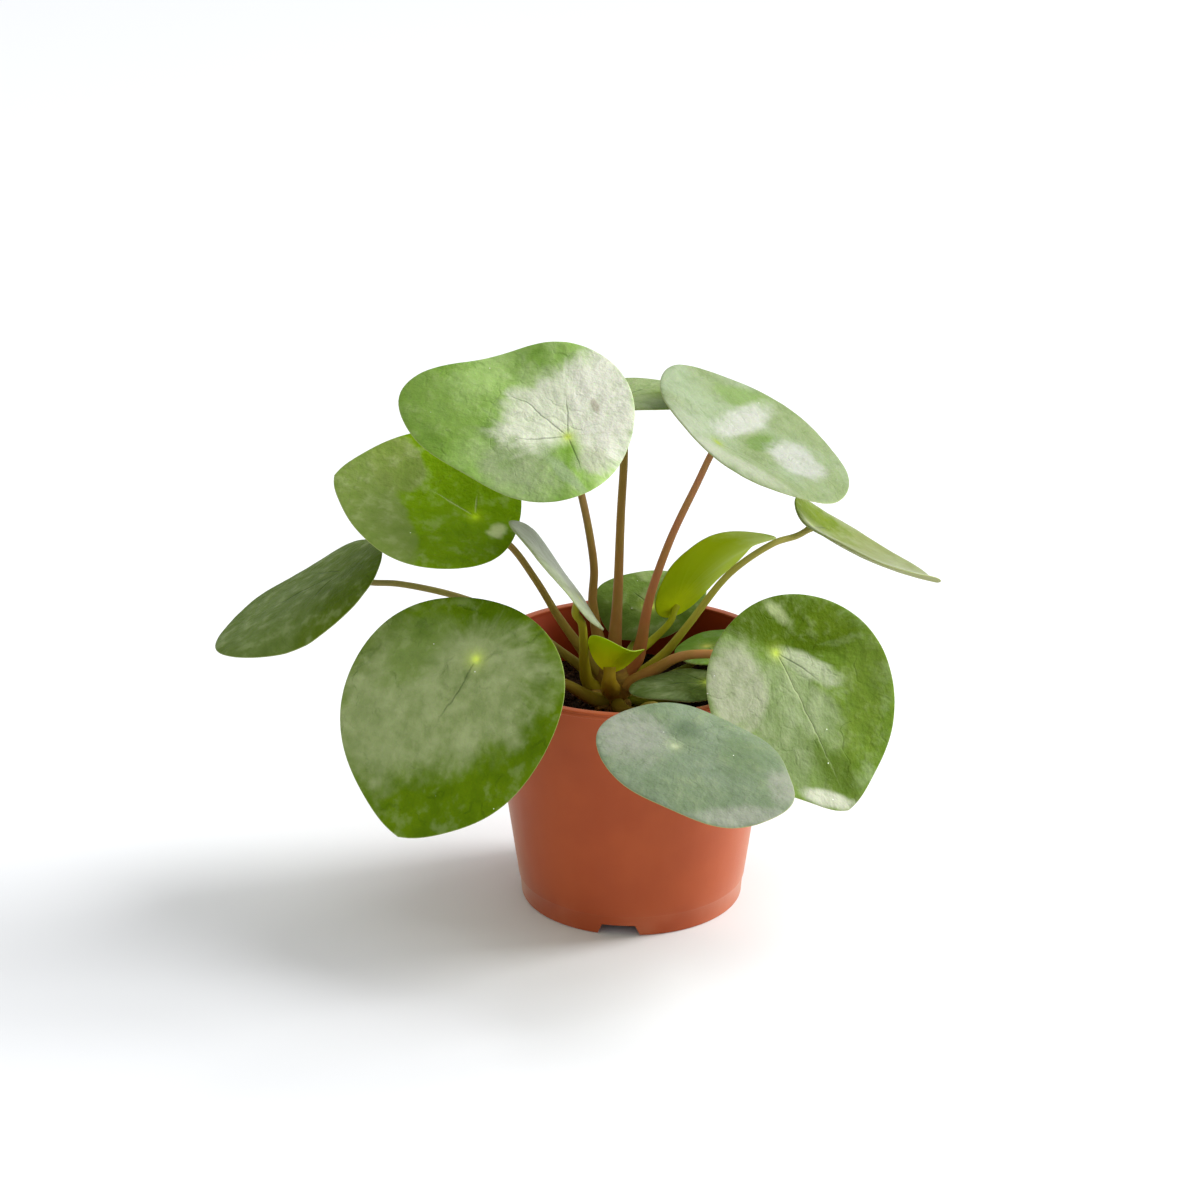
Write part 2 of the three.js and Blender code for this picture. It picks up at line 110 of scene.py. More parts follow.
# %% A board for nodes
# The Mix node has a set of sockets for each kind of value. These are the ones for colours.
MIX_FIRST, MIX_SECOND, MIX_RESULT = 6, 7, 2


class Board:
    """A node tree to build on."""

    def __init__(self, tree):
        self.tree = tree

    def node(self, kind, settings=None, sockets=None, output=0):
        """Adds a node: its settings first, then a value or a link for each socket named."""
        made = self.tree.nodes.new(kind)
        for name, value in (settings or {}).items():
            setattr(made, name, value)
        for key, value in (sockets or {}).items():
            self.plug(made.inputs[key], value)
        return Wire(self, made.outputs[output]) if len(made.outputs) else made

    def plug(self, socket, value):
        if isinstance(value, Wire):
            self.tree.links.new(value.socket, socket)
        else:
            socket.default_value = value

    def math(self, operation, *values):
        return self.node("ShaderNodeMath", {"operation": operation}, dict(enumerate(values)))

    def vector(self, operation, *values, output=0):
        sockets = dict(enumerate(values))
        return self.node("ShaderNodeVectorMath", {"operation": operation}, sockets, output)

    def scale(self, vector, factor):
        """A vector made longer or shorter."""
        return self.node("ShaderNodeVectorMath", {"operation": "SCALE"}, {0: vector, "Scale": factor})

    def mix(self, share, first, second, blend="MIX"):
        """A colour between two colours."""
        settings = {"data_type": "RGBA", "blend_type": blend}
        sockets = {0: share, MIX_FIRST: first, MIX_SECOND: second}
        return self.node("ShaderNodeMix", settings, sockets, MIX_RESULT)

    def step(self, value, low, high):
        """A smooth step from 0 to 1 as value goes from low to high."""
        settings = {"interpolation_type": "SMOOTHSTEP"}
        sockets = {"Value": value, "From Min": low, "From Max": high}
        return self.node("ShaderNodeMapRange", settings, sockets)

    def bell(self, value, width):
        """1 where value is 0, falling smoothly to nothing over the width."""
        return self.math("EXPONENT", -((value / width) ** 2))

    def hypot(self, first, second):
        return self.math("SQRT", first * first + second * second)

    def split(self, vector):
        x = self.node("ShaderNodeSeparateXYZ", sockets={0: vector})
        return x, x.output("Y"), x.output("Z")

    def join(self, x, y, z):
        return self.node("ShaderNodeCombineXYZ", sockets={0: x, 1: y, 2: z})

    def cloud(self, place, size, detail=3.0, rough=0.5):
        """Soft noise from 0 to 1 whose lumps are about size across, in place's own units."""
        sockets = {"Vector": place, "Scale": 1 / size, "Detail": detail, "Roughness": rough}
        return self.node("ShaderNodeTexNoise", sockets=sockets)

    def bump(self, height, strength, depth):
        """The normals of a surface with fine relief, its depth in metres."""
        sockets = {"Strength": strength, "Distance": depth, "Height": height}
        return self.node("ShaderNodeBump", sockets=sockets)


# %% [markdown]
# Geometry Nodes grow the pieces that follow a rule. A tree is a group with named inputs. It runs on a
# helper object, its result is copied out as a plain mesh, and the helper is removed with its modifier.

# %% Growing a mesh with Geometry Nodes
SOCKETS = {
    "length": "NodeSocketFloat",
    "count": "NodeSocketInt",
    "place": "NodeSocketVector",
    "finish": "NodeSocketMaterial",
}


def new_tree(title, inputs):
    """An empty Geometry Nodes tree: its board, and its inputs as wires by name."""
    tree = bpy.data.node_groups.new(title, "GeometryNodeTree")
    tree.interface.new_socket("Geometry", in_out="INPUT", socket_type="NodeSocketGeometry")
    for kind, names in inputs.items():
        for name in names:
            tree.interface.new_socket(name, in_out="INPUT", socket_type=SOCKETS[kind])
    tree.interface.new_socket("Geometry", in_out="OUTPUT", socket_type="NodeSocketGeometry")
    board = Board(tree)
    source = tree.nodes.new("NodeGroupInput")
    wires = {socket.name: Wire(board, socket) for socket in source.outputs if socket.name}
    return board, wires


def moved(board, geometry, **sockets):
    """The geometry with new places for its points."""
    return board.node("GeometryNodeSetPosition", sockets={"Geometry": geometry, **sockets})


def finished(board, geometry, material):
    return board.node("GeometryNodeSetMaterial", sockets={"Geometry": geometry, "Material": material})


def stored(board, geometry, name, value, kind="FLOAT"):
    """The geometry with a value kept at each point, for its material to read."""
    settings = {"data_type": kind, "domain": "POINT"}
    sockets = {"Geometry": geometry, "Name": name, "Value": value}
    return board.node("GeometryNodeStoreNamedAttribute", settings, sockets)


def joined(board, parts):
    """Several parts as one. Links to the same socket stack up, so the last part goes in first."""
    whole = board.node("GeometryNodeJoinGeometry")
    for part in reversed(parts):
        board.tree.links.new(part.socket, whole.socket.node.inputs[0])
    return whole


def end_tree(board, geometry, material=None):
    """Closes a tree: real geometry, smooth faces, and a material unless each part has its own."""
    real = board.node("GeometryNodeRealizeInstances", sockets={"Geometry": geometry})
    last = board.node("GeometryNodeSetShadeSmooth", sockets={"Geometry": real})
    if material:
        last = finished(board, last, material)
    board.node("NodeGroupOutput", sockets={"Geometry": last})


def grow(name, start, tree, values):
    """Runs a tree on the mesh start and gives back the result as a plain mesh."""
    helper = bpy.data.objects.new(name + "_helper", start)
    bpy.context.scene.collection.objects.link(helper)
    modifier = helper.modifiers.new("Grow", "NODES")
    modifier.node_group = tree
    for item in tree.interface.items_tree:
        if item.in_out == "INPUT" and item.name in values:
            modifier[item.identifier] = values[item.name]
    graph = bpy.context.evaluated_depsgraph_get()
    mesh = bpy.data.meshes.new_from_object(helper.evaluated_get(graph))
    bpy.data.objects.remove(helper)
    mesh.name = name
    return mesh


# %% Pieces and materials
def add_piece(name, mesh, slot, *nodes):
    """Shows a mesh as the finished piece that stands for CAD nodes."""
    piece = bpy.data.objects.new(name, mesh)
    bpy.context.scene.collection.objects.link(piece)
    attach(piece, "root")
    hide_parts(*nodes)
    return piece


def new_material(name):
    """An empty material: its board, its closing node and the shader that it ends in."""
    material = bpy.data.materials.new(name)
    material.use_nodes = True
    board = Board(material.node_tree)
    shader = material.node_tree.nodes["Principled BSDF"]
    return material, board, shader


def set_shader(board, shader, values):
    for name, value in values.items():
        board.plug(shader.inputs[name], value)


# %% [markdown]
# The camera comes first, because everything is judged through it. The ellipses of the pot's rim and
# foot give how far it looks down, and the taper between them how far away it stands.

# %% Camera
LOOK_DOWN = math.radians(21.9)
DISTANCE = 1500 * MM
AIM = Vector((-12.6, 0, 124.1)) * MM
FOCAL_PIXELS, IMAGE_PIXELS, SENSOR = 3844, 1200, 36

camera_data = bpy.data.cameras.new("camera")
camera_data.sensor_width = SENSOR
camera_data.lens = FOCAL_PIXELS / IMAGE_PIXELS * SENSOR
camera = bpy.data.objects.new("camera", camera_data)
camera.location = AIM + DISTANCE * Vector((0, -math.cos(LOOK_DOWN), math.sin(LOOK_DOWN)))
camera.rotation_euler = (math.pi / 2 - LOOK_DOWN, 0, 0)
bpy.context.scene.collection.objects.link(camera)
bpy.context.scene.camera = camera
print("lens", round(camera_data.lens, 1), "mm")

# %% [markdown]
# Every leaf has a place, a tilt and a shape of its own, so each is a set of named values: where its
# upper face meets the stalk, the compass angle and height angle that the face looks to, how far its
# point is turned from straight downhill, its outline, its bends, and the stalk's route and thickness.
# The same values shaped the solid leaves of the frame, so the fine blades fall on them. Only the bud
# and the routes and thicknesses of a few stalks were set a little closer to the real plant here.

# %% The leaves' values, in millimetres and degrees
# A row keeps its values in groups, in the order given here. A loop then names them one by one.
LEAF_GROUPS = dict(
    face=("facing", "tilt", "turn"),
    size=("length", "width", "stalk_at"),
    edge=("point", "skew", "egg", "lean"),
    form=("bend", "cup", "curl", "fold", "twist"),
    rolled=("roll", "roll_at"),
)
LEAVES = [
    dict(
        name="top_left", at=(-24.8, -21.9, 199.3), face=(-76.7, 53.3, -121.2), size=(95.8, 80.4, 0.3),
        edge=(0.078, 0.034, 0.066, 0.007), form=(0.077, -0.016, 0.167, -0.161, -0.157), rolled=(0.099, -45),
        route=[(-8, 1.5, 94), (-12, 3.5, 102), (-15.4, 5, 120), (-14.9, 1, 136), (-16.1, -5, 150),
               (-19.6, -15, 173)],
        thick=(3.9, 2.8),
    ),
    dict(
        name="upper_left", at=(-60.4, -11.9, 163.3), face=(-79.2, 60.9, -118.3), size=(75.8, 74.6, 0.24),
        edge=(0.119, -0.028, 0.014, 0.005), form=(0.018, -0.104, 0.034, -0.081, 0.109), rolled=(-0.019, 117),
        route=[(-9, 0, 90), (-14.5, 0.5, 95.5), (-21, 1.5, 104.5), (-28.6, 0, 116.6), (-37.6, -5, 134.6),
               (-47.6, -9, 150.6)],
        thick=(3.7, 2.6),
    ),
    dict(
        name="far_left", at=(-112.7, -1.5, 136.7), face=(182.4, 57.1, -7.2), size=(80.9, 74.4, 0.27),
        edge=(0.031, -0.01, 0.031, 0.068), form=(-0.063, 0.232, 0.013, -0.002, -0.021), rolled=(0.06, 91),
        route=[(-9, 2, 84), (-17, 5, 91), (-27, 5, 99.5), (-44, 3, 113.5), (-67, 1, 124.8),
               (-91, -1, 131.3), (-101, -1.5, 132)],
        thick=(3.4, 2.4),
    ),
    dict(
        name="front_left", at=(-59.3, -55, 122.1), face=(-106.5, 38.3, -16), size=(97.3, 89.6, 0.26),
        edge=(0.075, -0.012, 0.017, 0.008), form=(0.023, 0.016, 0.205, -0.041, 0.038), rolled=(-0.066, 108),
        route=[(-9, -2.5, 83), (-15, -10.5, 86.5), (-25, -19, 96), (-38, -29, 106), (-50, -39, 112)],
        thick=(4.4, 3.2),
    ),
    dict(
        name="front", at=(15, -106.4, 109.1), face=(-52, 74, 25), size=(77, 69, 0.36),
        edge=(0.08, -0.01, 0, -0.05), form=(0.03, 0.05, 0.03, 0.04, 0.08), rolled=(0.07, 80),
        route=[(-6.5, -3, 83), (-4, -14, 83.5), (1.5, -32, 90.5), (6, -48, 99.8), (9, -59, 104),
               (13, -85, 103)],
        thick=(4.2, 3),
    ),
    dict(
        name="front_right", at=(54.4, -42.1, 119.3), face=(-57.6, 32.3, 11.2), size=(87.7, 82.4, 0.25),
        edge=(0.125, 0.01, 0.016, 0.023), form=(0.053, -0.026, 0.014, -0.086, -0.023), rolled=(-0.067, 88),
        route=[(-5, -2.5, 86.5), (2.5, -6.8, 93.5), (10, -10, 99.5), (16, -14, 105), (23, -19, 109),
               (37, -26, 112)],
        thick=(4.4, 3.2),
    ),
    dict(
        name="top_right", at=(32.5, -2.9, 190.1), face=(-4.9, 58.5, 58), size=(86.6, 87.2, 0.19),
        edge=(0.075, 0.005, 0.004, -0.013), form=(-0.171, 0.02, 0.11, -0.098, 0.01), rolled=(-0.026, 0),
        route=[(-4, 0, 92.5), (1.5, -0.5, 99), (3.4, -1, 106), (6.6, -1, 124.5), (14.6, -2, 150),
               (25.4, -3, 175)],
        thick=(4.6, 2.6),
    ),
    dict(
        name="far_right", at=(70.7, 19.4, 147.6), face=(12.8, 48.5, 3.2), size=(63.6, 65.5, 0.1),
        edge=(-0.012, -0.033, 0.01, 0.066), form=(-0.229, -0.178, -0.08, -0.125, -0.226), rolled=(0.041, 0),
        route=[(-5, 2, 86), (3, 3.5, 91), (12, 4, 98.9), (22, 1, 113.3), (38, 5.5, 133), (55, 9.6, 144)],
        thick=(3.8, 2.5),
    ),
    dict(
        name="top_back", at=(-3.1, 40.1, 194.3), face=(82.6, 84.7, 16.4), size=(61.5, 57.4, 0.31),
        edge=(0.056, 0.034, -0.001, -0.03), form=(0.068, -0.044, -0.015, 0.109, -0.158), rolled=(0.036, 0),
        route=[(-5.6, 1, 92), (-7, 4.5, 100), (-6.6, 6, 107), (-5.7, 11, 120), (-4.4, 23, 151),
               (-3.1, 33, 172)],
        thick=(4.6, 3),
    ),
    dict(
        name="young_right", at=(16.6, 26.6, 110.7), face=(131.8, 23.9, -155.7), size=(55.4, 39.4, 0.08),
        edge=(0.04, -0.019, -0.022, -0.05), form=(0.185, -0.36, 0.039, 0.013, 0.033), rolled=(0.144, 0),
        route=[(-5, 4, 91), (0, 9, 96.5), (7, 16, 99.5)],
        thick=(3.2, 2.4),
    ),
    dict(
        name="back_low", at=(7.7, 38.1, 106.1), face=(-90.4, 70.3, 175.5), size=(43.4, 42.1, 0.34),
        edge=(0.072, -0.048, -0.05, -0.04), form=(0.267, 0.02, 0.039, 0.002, -0.045), rolled=(0.167, 137),
        route=[(-8, 3, 86), (-5, 16, 88.5), (4, 34, 97)],
        thick=(3.2, 2.4),
    ),
    dict(
        name="right_low", at=(29.5, 7.4, 101.4), face=(180, 84, 150), size=(38, 36, 0.32),
        edge=(0.06, 0, 0, 0), form=(0.03, -0.1, 0.05, 0, 0), rolled=(0.05, 27),
        route=[(-5, 0, 83.5), (3, 1, 85.5), (14, 4, 90)],
        thick=(3, 2.2),
    ),
    dict(
        name="front_low", at=(29, -24.5, 99.5), face=(-78, 88, -98), size=(44, 30, 0.3),
        edge=(0.06, 0, 0.02, 0), form=(0.08, 0.07, 0.04, 0.03, 0.05), rolled=(0, 0),
        route=[(-4, -2, 82.5), (4, -7, 84), (15, -16, 88)],
        thick=(3, 2.2),
    ),
    dict(
        name="bud", at=(-9, -14, 101.4), face=(95, 21, 205), size=(18.5, 23, 0.1),
        edge=(0.06, 0, 0, 0), form=(0.4, -0.7, 0, -0.3, 0.05), rolled=(0, 0),
        route=[(-7, -3, 89), (-8.5, -10, 91.5), (-9, -15, 96)],
        thick=(2.8, 2), swell=2.6,
    ),
    dict(
        name="inner_left", at=(-20.2, -28.3, 135.4), face=(11.9, 35.2, 173.1), size=(56.6, 47.3, 0.27),
        edge=(0.058, -0.025, 0.013, -0.029), form=(0, 0.15, -0.014, -0.066, -0.134), rolled=(0.069, 0),
        route=[(-10.5, -2, 86), (-16.8, -4.4, 90.5), (-18.6, -9, 100), (-19, -15, 112),
               (-19.6, -21.5, 123)],
        thick=(4, 3),
    ),
]
for leaf in LEAVES:
    for group, names in LEAF_GROUPS.items():
        leaf.update(zip(names, leaf.pop(group)))
print("leaves:", len(LEAVES))


# %% Each leaf's own axes
def leaf_frame(leaf):
    """The matrix from the leaf's plane (along, across, upwards from its face) to the plant."""
    facing, tilt, turn = (math.radians(leaf[key]) for key in ("facing", "tilt", "turn"))
    level, plumb = Vector((math.cos(facing), math.sin(facing), 0)), Vector((0, 0, 1))
    upward = math.cos(tilt) * level + math.sin(tilt) * plumb
    downhill = math.sin(tilt) * level - math.cos(tilt) * plumb
    along = math.cos(turn) * downhill + math.sin(turn) * upward.cross(downhill)
    across = upward.cross(along)
    turned = Matrix((along, across, upward)).transposed().to_4x4()
    return Matrix.Translation(Vector(leaf["at"]) * MM) @ turned


print("the first leaf faces", [round(c, 2) for c in leaf_frame(LEAVES[0]).col[2][:3]])

# %% [markdown]
# A blade is a flat oval with a short point, bent, cupped, folded and curled, with a dimple where the
# stalk meets it, a margin that drops, gentle waves, and soft quilting between the furrows of its
# veins. All of that is a rule, so one Geometry Nodes tree grows every blade: a grid of steps outwards
# and angles round is moved to its place by sums, once for the upper face and once, turned over, for
# the lower one. The two meet in a rounded margin and are merged there.

# %% The blade's tree
BLADE_THICKNESS = 0.9
BLADE_REFERENCE = 90
POINT_SPREAD, FOLD_SOFTNESS, ROLL_SPREAD = 0.32, 0.1, 0.6
TIP_SPREAD = 0.09
DIMPLE_DEPTH, DIMPLE_REACH, EDGE_DROP = 1.2, 0.12, 0.8
WAVES, WAVE_HEIGHT, WAVE_PHASE = 5, 0.7, 1.7
VEINS = 11
MARGIN_ROUNDNESS, MERGE_WITHIN = 60, 0.004
BLADE_FIT = 0.992
QUILT_SIZE, QUILT_HEIGHT, FURROW_DEPTH = 7, 0.45, 0.08
SHAPE_INPUTS = [
    "Length", "Width", "Stalk at", "Point", "Skew", "Egg", "Lean", "Bend", "Cup", "Curl", "Fold",
    "Twist", "Roll", "Roll at", "Phase", "Tip",
]


def vein_angle(board, angle, radius):
    """The angle round the stalk in a pattern whose veins sweep slightly towards the point."""
    return angle + 0.35 * board.math("SINE", angle) * board.math("MINIMUM", radius, 1.0)


def blade_tree():
    inputs = {"length": SHAPE_INPUTS, "count": ["Rings", "Sectors"], "finish": ["Upper", "Under"]}
    board, given = new_tree("Leaf blade", inputs)
    sockets = {
        "Size X": 1.0, "Size Y": 2 * math.pi, "Vertices X": given["Rings"], "Vertices Y": given["Sectors"],
    }
    grid = board.node("GeometryNodeMeshGrid", sockets=sockets)
    x, angle, _ = board.split(board.node("GeometryNodeInputPosition"))
    share = board.math("SINE", (x + 0.5) * (math.pi / 2)) * BLADE_FIT
    cosine, sine = board.math("COSINE", angle), board.math("SINE", angle)

    length, point = given["Length"], given["Point"]
    half = length / (point + 2)
    oval = 1 / board.hypot(cosine / half, sine / (given["Width"] * 0.5))
    shape = (
        1 + point * board.bell(angle, POINT_SPREAD)
        + given["Tip"] * board.math("EXPONENT", board.math("ABSOLUTE", angle) / -TIP_SPREAD)
        + given["Skew"] * board.math("SINE", angle * 2)
        + given["Egg"] * (board.math("COSINE", angle * 3) - 1)
        + given["Lean"] * board.math("SINE", angle * 3)
    )
    u = share * (oval * shape * cosine + half - given["Stalk at"] * length)
    v = share * oval * shape * sine

    a, b = u / length, v / length
    radius = board.hypot(a, b)
    fold_shape = board.hypot(b, FOLD_SOFTNESS) - FOLD_SOFTNESS
    from_roll = board.math("FLOORED_MODULO", angle - given["Roll at"] + math.pi, 2 * math.pi) - math.pi
    form = (
        given["Twist"] * a * b - given["Bend"] * a * a - given["Cup"] * b * b
        - given["Curl"] * a * a * a - given["Fold"] * fold_shape
        - given["Roll"] * share ** 3 * board.bell(from_roll, ROLL_SPREAD)
    )
    rise = DIMPLE_DEPTH * (1 - board.math("EXPONENT", radius / -DIMPLE_REACH))
    wave = WAVE_HEIGHT * share ** 4 * board.math("COSINE", WAVES * angle + given["Phase"])
    height = length * (form + (rise - EDGE_DROP * share ** 6 + wave) / BLADE_REFERENCE)

    place = board.join(u, v, given["Phase"] * 40)
    quilt = board.cloud(place, QUILT_SIZE, detail=2.0) - 0.5
    swept = vein_angle(board, angle, radius)
    furrow = (board.math("COSINE", VEINS * swept) * 0.5 + 0.5) ** 6
    scale = length / BLADE_REFERENCE
    relief = scale * board.step(radius, 0.0, 0.2) * (
        QUILT_HEIGHT * quilt - FURROW_DEPTH * furrow * (1.15 - share)
    )
    height = height + relief

    half_thick = BLADE_THICKNESS / 2
    rounded = (share / BLADE_FIT) ** MARGIN_ROUNDNESS
    bulge = board.math("SQRT", board.math("MAXIMUM", 1 - rounded, 0.0))
    named = stored(board, stored(board, grid, "plane", place, "FLOAT_VECTOR"), "share", share)
    sheets = []
    for side, finish in ((1, given["Upper"]), (-1, given["Under"])):
        level = height - half_thick + side * half_thick * bulge
        sheet = moved(board, named, Position=board.join(u * MM, v * MM, level * MM))
        if side < 0:
            sheet = board.node("GeometryNodeFlipFaces", sockets={"Mesh": sheet})
        sheets.append(finished(board, sheet, finish))
    sockets = {"Geometry": joined(board, sheets), "Distance": MERGE_WITHIN * MM}
    end_tree(board, board.node("GeometryNodeMergeByDistance", sockets=sockets))
    return board.tree


BLADE_TREE = blade_tree()
print("blade tree:", len(BLADE_TREE.nodes), "nodes")

# %% [markdown]
# The upper face of a blade is a vivid green. Where it mirrors the bright room it turns grey green or
# nearly white, in soft patches that its bends and crinkles break up. Those reflections are painted into
# the colour, each patch as an oval on the blade with a ragged rim, because they decide how every leaf
# looks, and the pale streaks that run out from the stalk are painted sheen too. Over them lie fine
# wrinkles, with painted shade in their hollows and creases and a little painted highlight on their
# crests, thin veins, a pale spot where the stalk is, a thin pale margin and a few white specks. Colours
# are given as they look, and "light" and "under_light" say what share of the full light reaches each
# face, so that the surface colour can be worked out from both. The tree stored the place on the blade,
# so the pattern follows it.

# %% The blades' colours
PLAIN_LEAF = dict(
    light=1.0, base="#5a7408", second="#688628", painted_sheen_streaks=0.25, spot="#b4c850", coat=0.0, wrinkles=0.25,
    under_light=1.0, under="#8c9f5e", under_vein="#a2b06a", near=None, far=None,
    veins=((0, 0.5, "dark"), (42, 0.3, "dark"), (-42, 0.3, "dark")),
)
LEAF_LOOKS = {
    "top_left": dict(
        base="#6b9030", second="#9ab86a", painted_sheen_streaks=0.3, light=0.99, wrinkles=0.5,
        veins=((-18, 0.35, "dark"), (-66, 0.2, "dark"), (33, 0.25, "dark"), (128, 0.2, "dark")),
    ),
    "upper_left": dict(
        base="#5c7804", second="#628002", painted_sheen_streaks=0.0, light=0.67, spot="#98b418",
        veins=((-14, 0.3, "pale"), (-71, 0.15, "pale")),
    ),
    "far_left": dict(base="#485c08", second="#4e6210", painted_sheen_streaks=0.0, light=0.8, spot="#5c702c"),
    "front_left": dict(
        base="#4c6602", second="#587204", painted_sheen_streaks=0.0, light=0.8, wrinkles=1.0, spot="#c8dc5c",
        veins=((-4, 0.35, "dark"),),
    ),
    # The whole face of front is painted with the grey green that it mirrors from the bright room.
    "front": dict(base="#889c78", second="#92a486", painted_sheen_streaks=0.25, light=1.56, spot="#cfdcae", veins=()),
    "front_right": dict(
        base="#607d22", second="#6a862a", painted_sheen_streaks=0.4, light=1.08, wrinkles=0.5,
        veins=((0, 0.7, "pale"), (35, 0.25, "dark")),
    ),
    # The pale green of top_right is painted sheen as well.
    "top_right": dict(base="#9fb27c", second="#b4c69e", painted_sheen_streaks=0.4, light=1.7, veins=((-60, 0.5, "pale"),)),
    "far_right": dict(
        base="#86923e", second="#9ca670", light=1.4, coat=0.8, under="#a4ae6c", under_light=1.3,
    ),
    "top_back": dict(base="#5a7408", second="#8a9c68", under="#b0bb8b"),
    "young_right": dict(
        base="#6c8414", second="#86982c", painted_sheen_streaks=0.1,
        under_light=0.5, under="#788a02", under_vein="#849406", near="#a0ac0c", far="#8a9a48",
    ),
    "back_low": dict(base="#4a5c22", second="#506428", light=0.57, painted_sheen_streaks=0.0),
    "right_low": dict(base="#4b6428", second="#556e2f", light=0.32, painted_sheen_streaks=0.15),
    "front_low": dict(base="#47581f", second="#5c6e3a", light=0.95),
    "bud": dict(
        base="#708614", second="#86982c", painted_sheen_streaks=0.0,
        under_light=0.23, under="#667c02", under_vein="#6a8204", near="#788a06",
    ),
    "inner_left": dict(base="#7f8966", second="#878e74", coat=0.4, under="#8f9a7c"),
}
# The tone of the painted sheen in the streaks, and a pale green for pale veins and for the painted highlight
# on the crests of the crinkles.
PAINTED_SHEEN_TONE, PALE_VEIN_AND_CRINKLE_HIGHLIGHT = "#a9b98a", "#c4cf9c"
MARGIN, SPECK, VEIN = rgb("#b9bf7e"), rgb("#e9efdc"), rgb("#1f3d10")
# The tint that painted shade takes in the crinkles, creases and wrinkles.
PAINTED_SHADE_TINT = (0.6, 0.68, 0.5, 1.0)

# %% The painted patches
# Each patch: its colour, strength and softness, then its middle and two half axes on the blade, along
# and across, as shares of the blade's length from the stalk.
# Most patches are painted reflections of the bright room, grey green to nearly white; the deeper greens
# paint the leaf between them, and a few are small flecks and a blemish on the leaf.
PAINTED_SHEEN = {
    "top_left": [
        ("#709038", 0.75, 0.6, (0.55, 0.1), (-0.15, -0.1), (-0.16, 0.23)),
        ("#7e8b66", 0.75, 0.5, (0.12, 0.23), (-0.18, 0.03), (0.01, -0.16)),
        ("#ced2bc", 0.85, 0.32, (0.12, -0.07), (-0.15, -0.12), (-0.04, 0.18)),
        ("#d0d2c0", 0.95, 0.3, (-0.08, -0.17), (-0.12, -0.05), (0.12, -0.24)),
        ("#889d6e", 0.85, 0.35, (-0.06, 0.19), (-0.09, 0.03), (0.06, -0.06)),
        ("#aab094", 0.85, 0.5, (-0.13, 0.07), (0.06, 0), (0, 0.07)),
        ("#a09682", 0.6, 0.3, (-0.05, -0.17), (-0.02, 0.02), (-0.01, -0.01)),
    ],
    "upper_left": [
        ("#6a7b3c", 0.9, 0.1, (0.57, 0.13), (-0.22, -0.04), (-0.36, 0.45)),
        ("#6b7b3a", 0.9, 0.12, (0.49, -0.17), (-0.15, -0.02), (0.07, -0.18)),
        ("#b0b888", 0.75, 0.5, (-0.14, 0.04), (-0.02, -0.03), (-0.03, 0.02)),
        ("#b0b888", 0.7, 0.5, (-0.13, 0.08), (-0.04, 0), (0, 0.02)),
    ],
    "far_left": [
        ("#647542", 0.6, 0.5, (0.4, 0.09), (-0.36, -0.12), (-0.08, 0.29)),
    ],
    "front_left": [
        ("#68783f", 0.8, 0.5, (0.29, -0.32), (0.31, 0.1), (0.03, -0.13)),
        ("#869361", 0.92, 0.28, (0.21, -0.07), (-0.31, 0.35), (0.18, 0.21)),
        ("#647a32", 0.75, 0.45, (0.06, -0.24), (-0.17, 0.05), (0.03, 0.08)),
    ],
    "front": [
        ("#7a9166", 0.7, 0.6, (0.29, 0.13), (0.12, -0.01), (0.04, -0.15)),
        ("#acb2a0", 0.85, 0.5, (-0.22, -0.06), (0.17, 0.06), (0.08, -0.18)),
        ("#aeb4a0", 0.8, 0.4, (0.55, 0.08), (0.09, -0.09), (-0.03, -0.1)),
        ("#aeb4a0", 0.8, 0.5, (0.47, -0.26), (0.16, 0.15), (-0.04, 0.04)),
        ("#74886a", 0.8, 0.5, (-0.02, 0.16), (0.07, 0.04), (0.02, -0.07)),
    ],
    "front_right": [
        ("#4c6402", 1.0, 0.3, (-0.11, 0.1), (0.19, 0.3), (0.15, -0.05)),
        ("#5e7614", 0.6, 0.5, (-0.02, 0.29), (0.08, 0.05), (0.03, -0.08)),
        ("#465c00", 0.8, 0.5, (-0.16, -0.08), (0.06, 0), (0, 0.1)),
        ("#688028", 0.7, 0.5, (0.35, 0.27), (0.01, 0.12), (0.27, -0.19)),
        ("#50661c", 0.9, 0.5, (0.57, 0), (0.1, 0.12), (-0.17, -0.02)),
        ("#7a8a5c", 0.85, 0.4, (0.32, -0.18), (0.28, 0.03), (0, 0.12)),
        ("#969c7e", 0.95, 0.3, (0.06, -0.28), (0.2, -0.05), (0.01, 0.16)),
        ("#b0ba96", 0.85, 0.3, (0.12, 0.11), (0.13, 0.1), (0.03, -0.04)),
        ("#8c9a70", 0.75, 0.5, (0.24, 0.01), (0.21, 0.05), (0, 0.11)),
        ("#bec2aa", 0.9, 0.4, (0.67, -0.08), (0.08, 0.11), (-0.02, 0.03)),
        ("#aab682", 0.6, 0.5, (-0.16, 0.09), (0.07, 0.02), (0, 0.03)),
    ],
    "top_right": [
        ("#94b464", 0.8, 0.35, (0.51, 0.25), (0.13, -0.08), (-0.09, -0.05)),
        ("#82a254", 0.92, 0.3, (0.33, -0.04), (0.1, -0.03), (0.09, 0.05)),
        ("#bec8ac", 0.6, 0.5, (-0.16, 0.06), (0.1, 0.21), (0.19, 0.06)),
        ("#ced4b8", 0.6, 0.5, (-0.07, -0.17), (0.12, -0.24), (-0.07, -0.03)),
        ("#dadece", 0.93, 0.38, (0.34, 0.11), (0.27, 0.02), (-0.08, -0.08)),
        ("#d8dcce", 0.88, 0.4, (0.4, -0.19), (0.04, -0.13), (-0.14, -0.06)),
        ("#9cb276", 0.5, 0.5, (0.58, -0.3), (-0.09, -0.15), (0, 0.03)),
    ],
    "far_right": [
        ("#72880c", 1.0, 0.6, (0.07, 0.26), (0.31, 0), (-0.1, -0.2)),
    ],
    "young_right": [
        ("#84933e", 0.85, 0.5, (0.66, 0.24), (-0.32, -0.08), (-0.07, 0.1)),
    ],
}
print("painted patches:", sum(len(patches) for patches in PAINTED_SHEEN.values()))


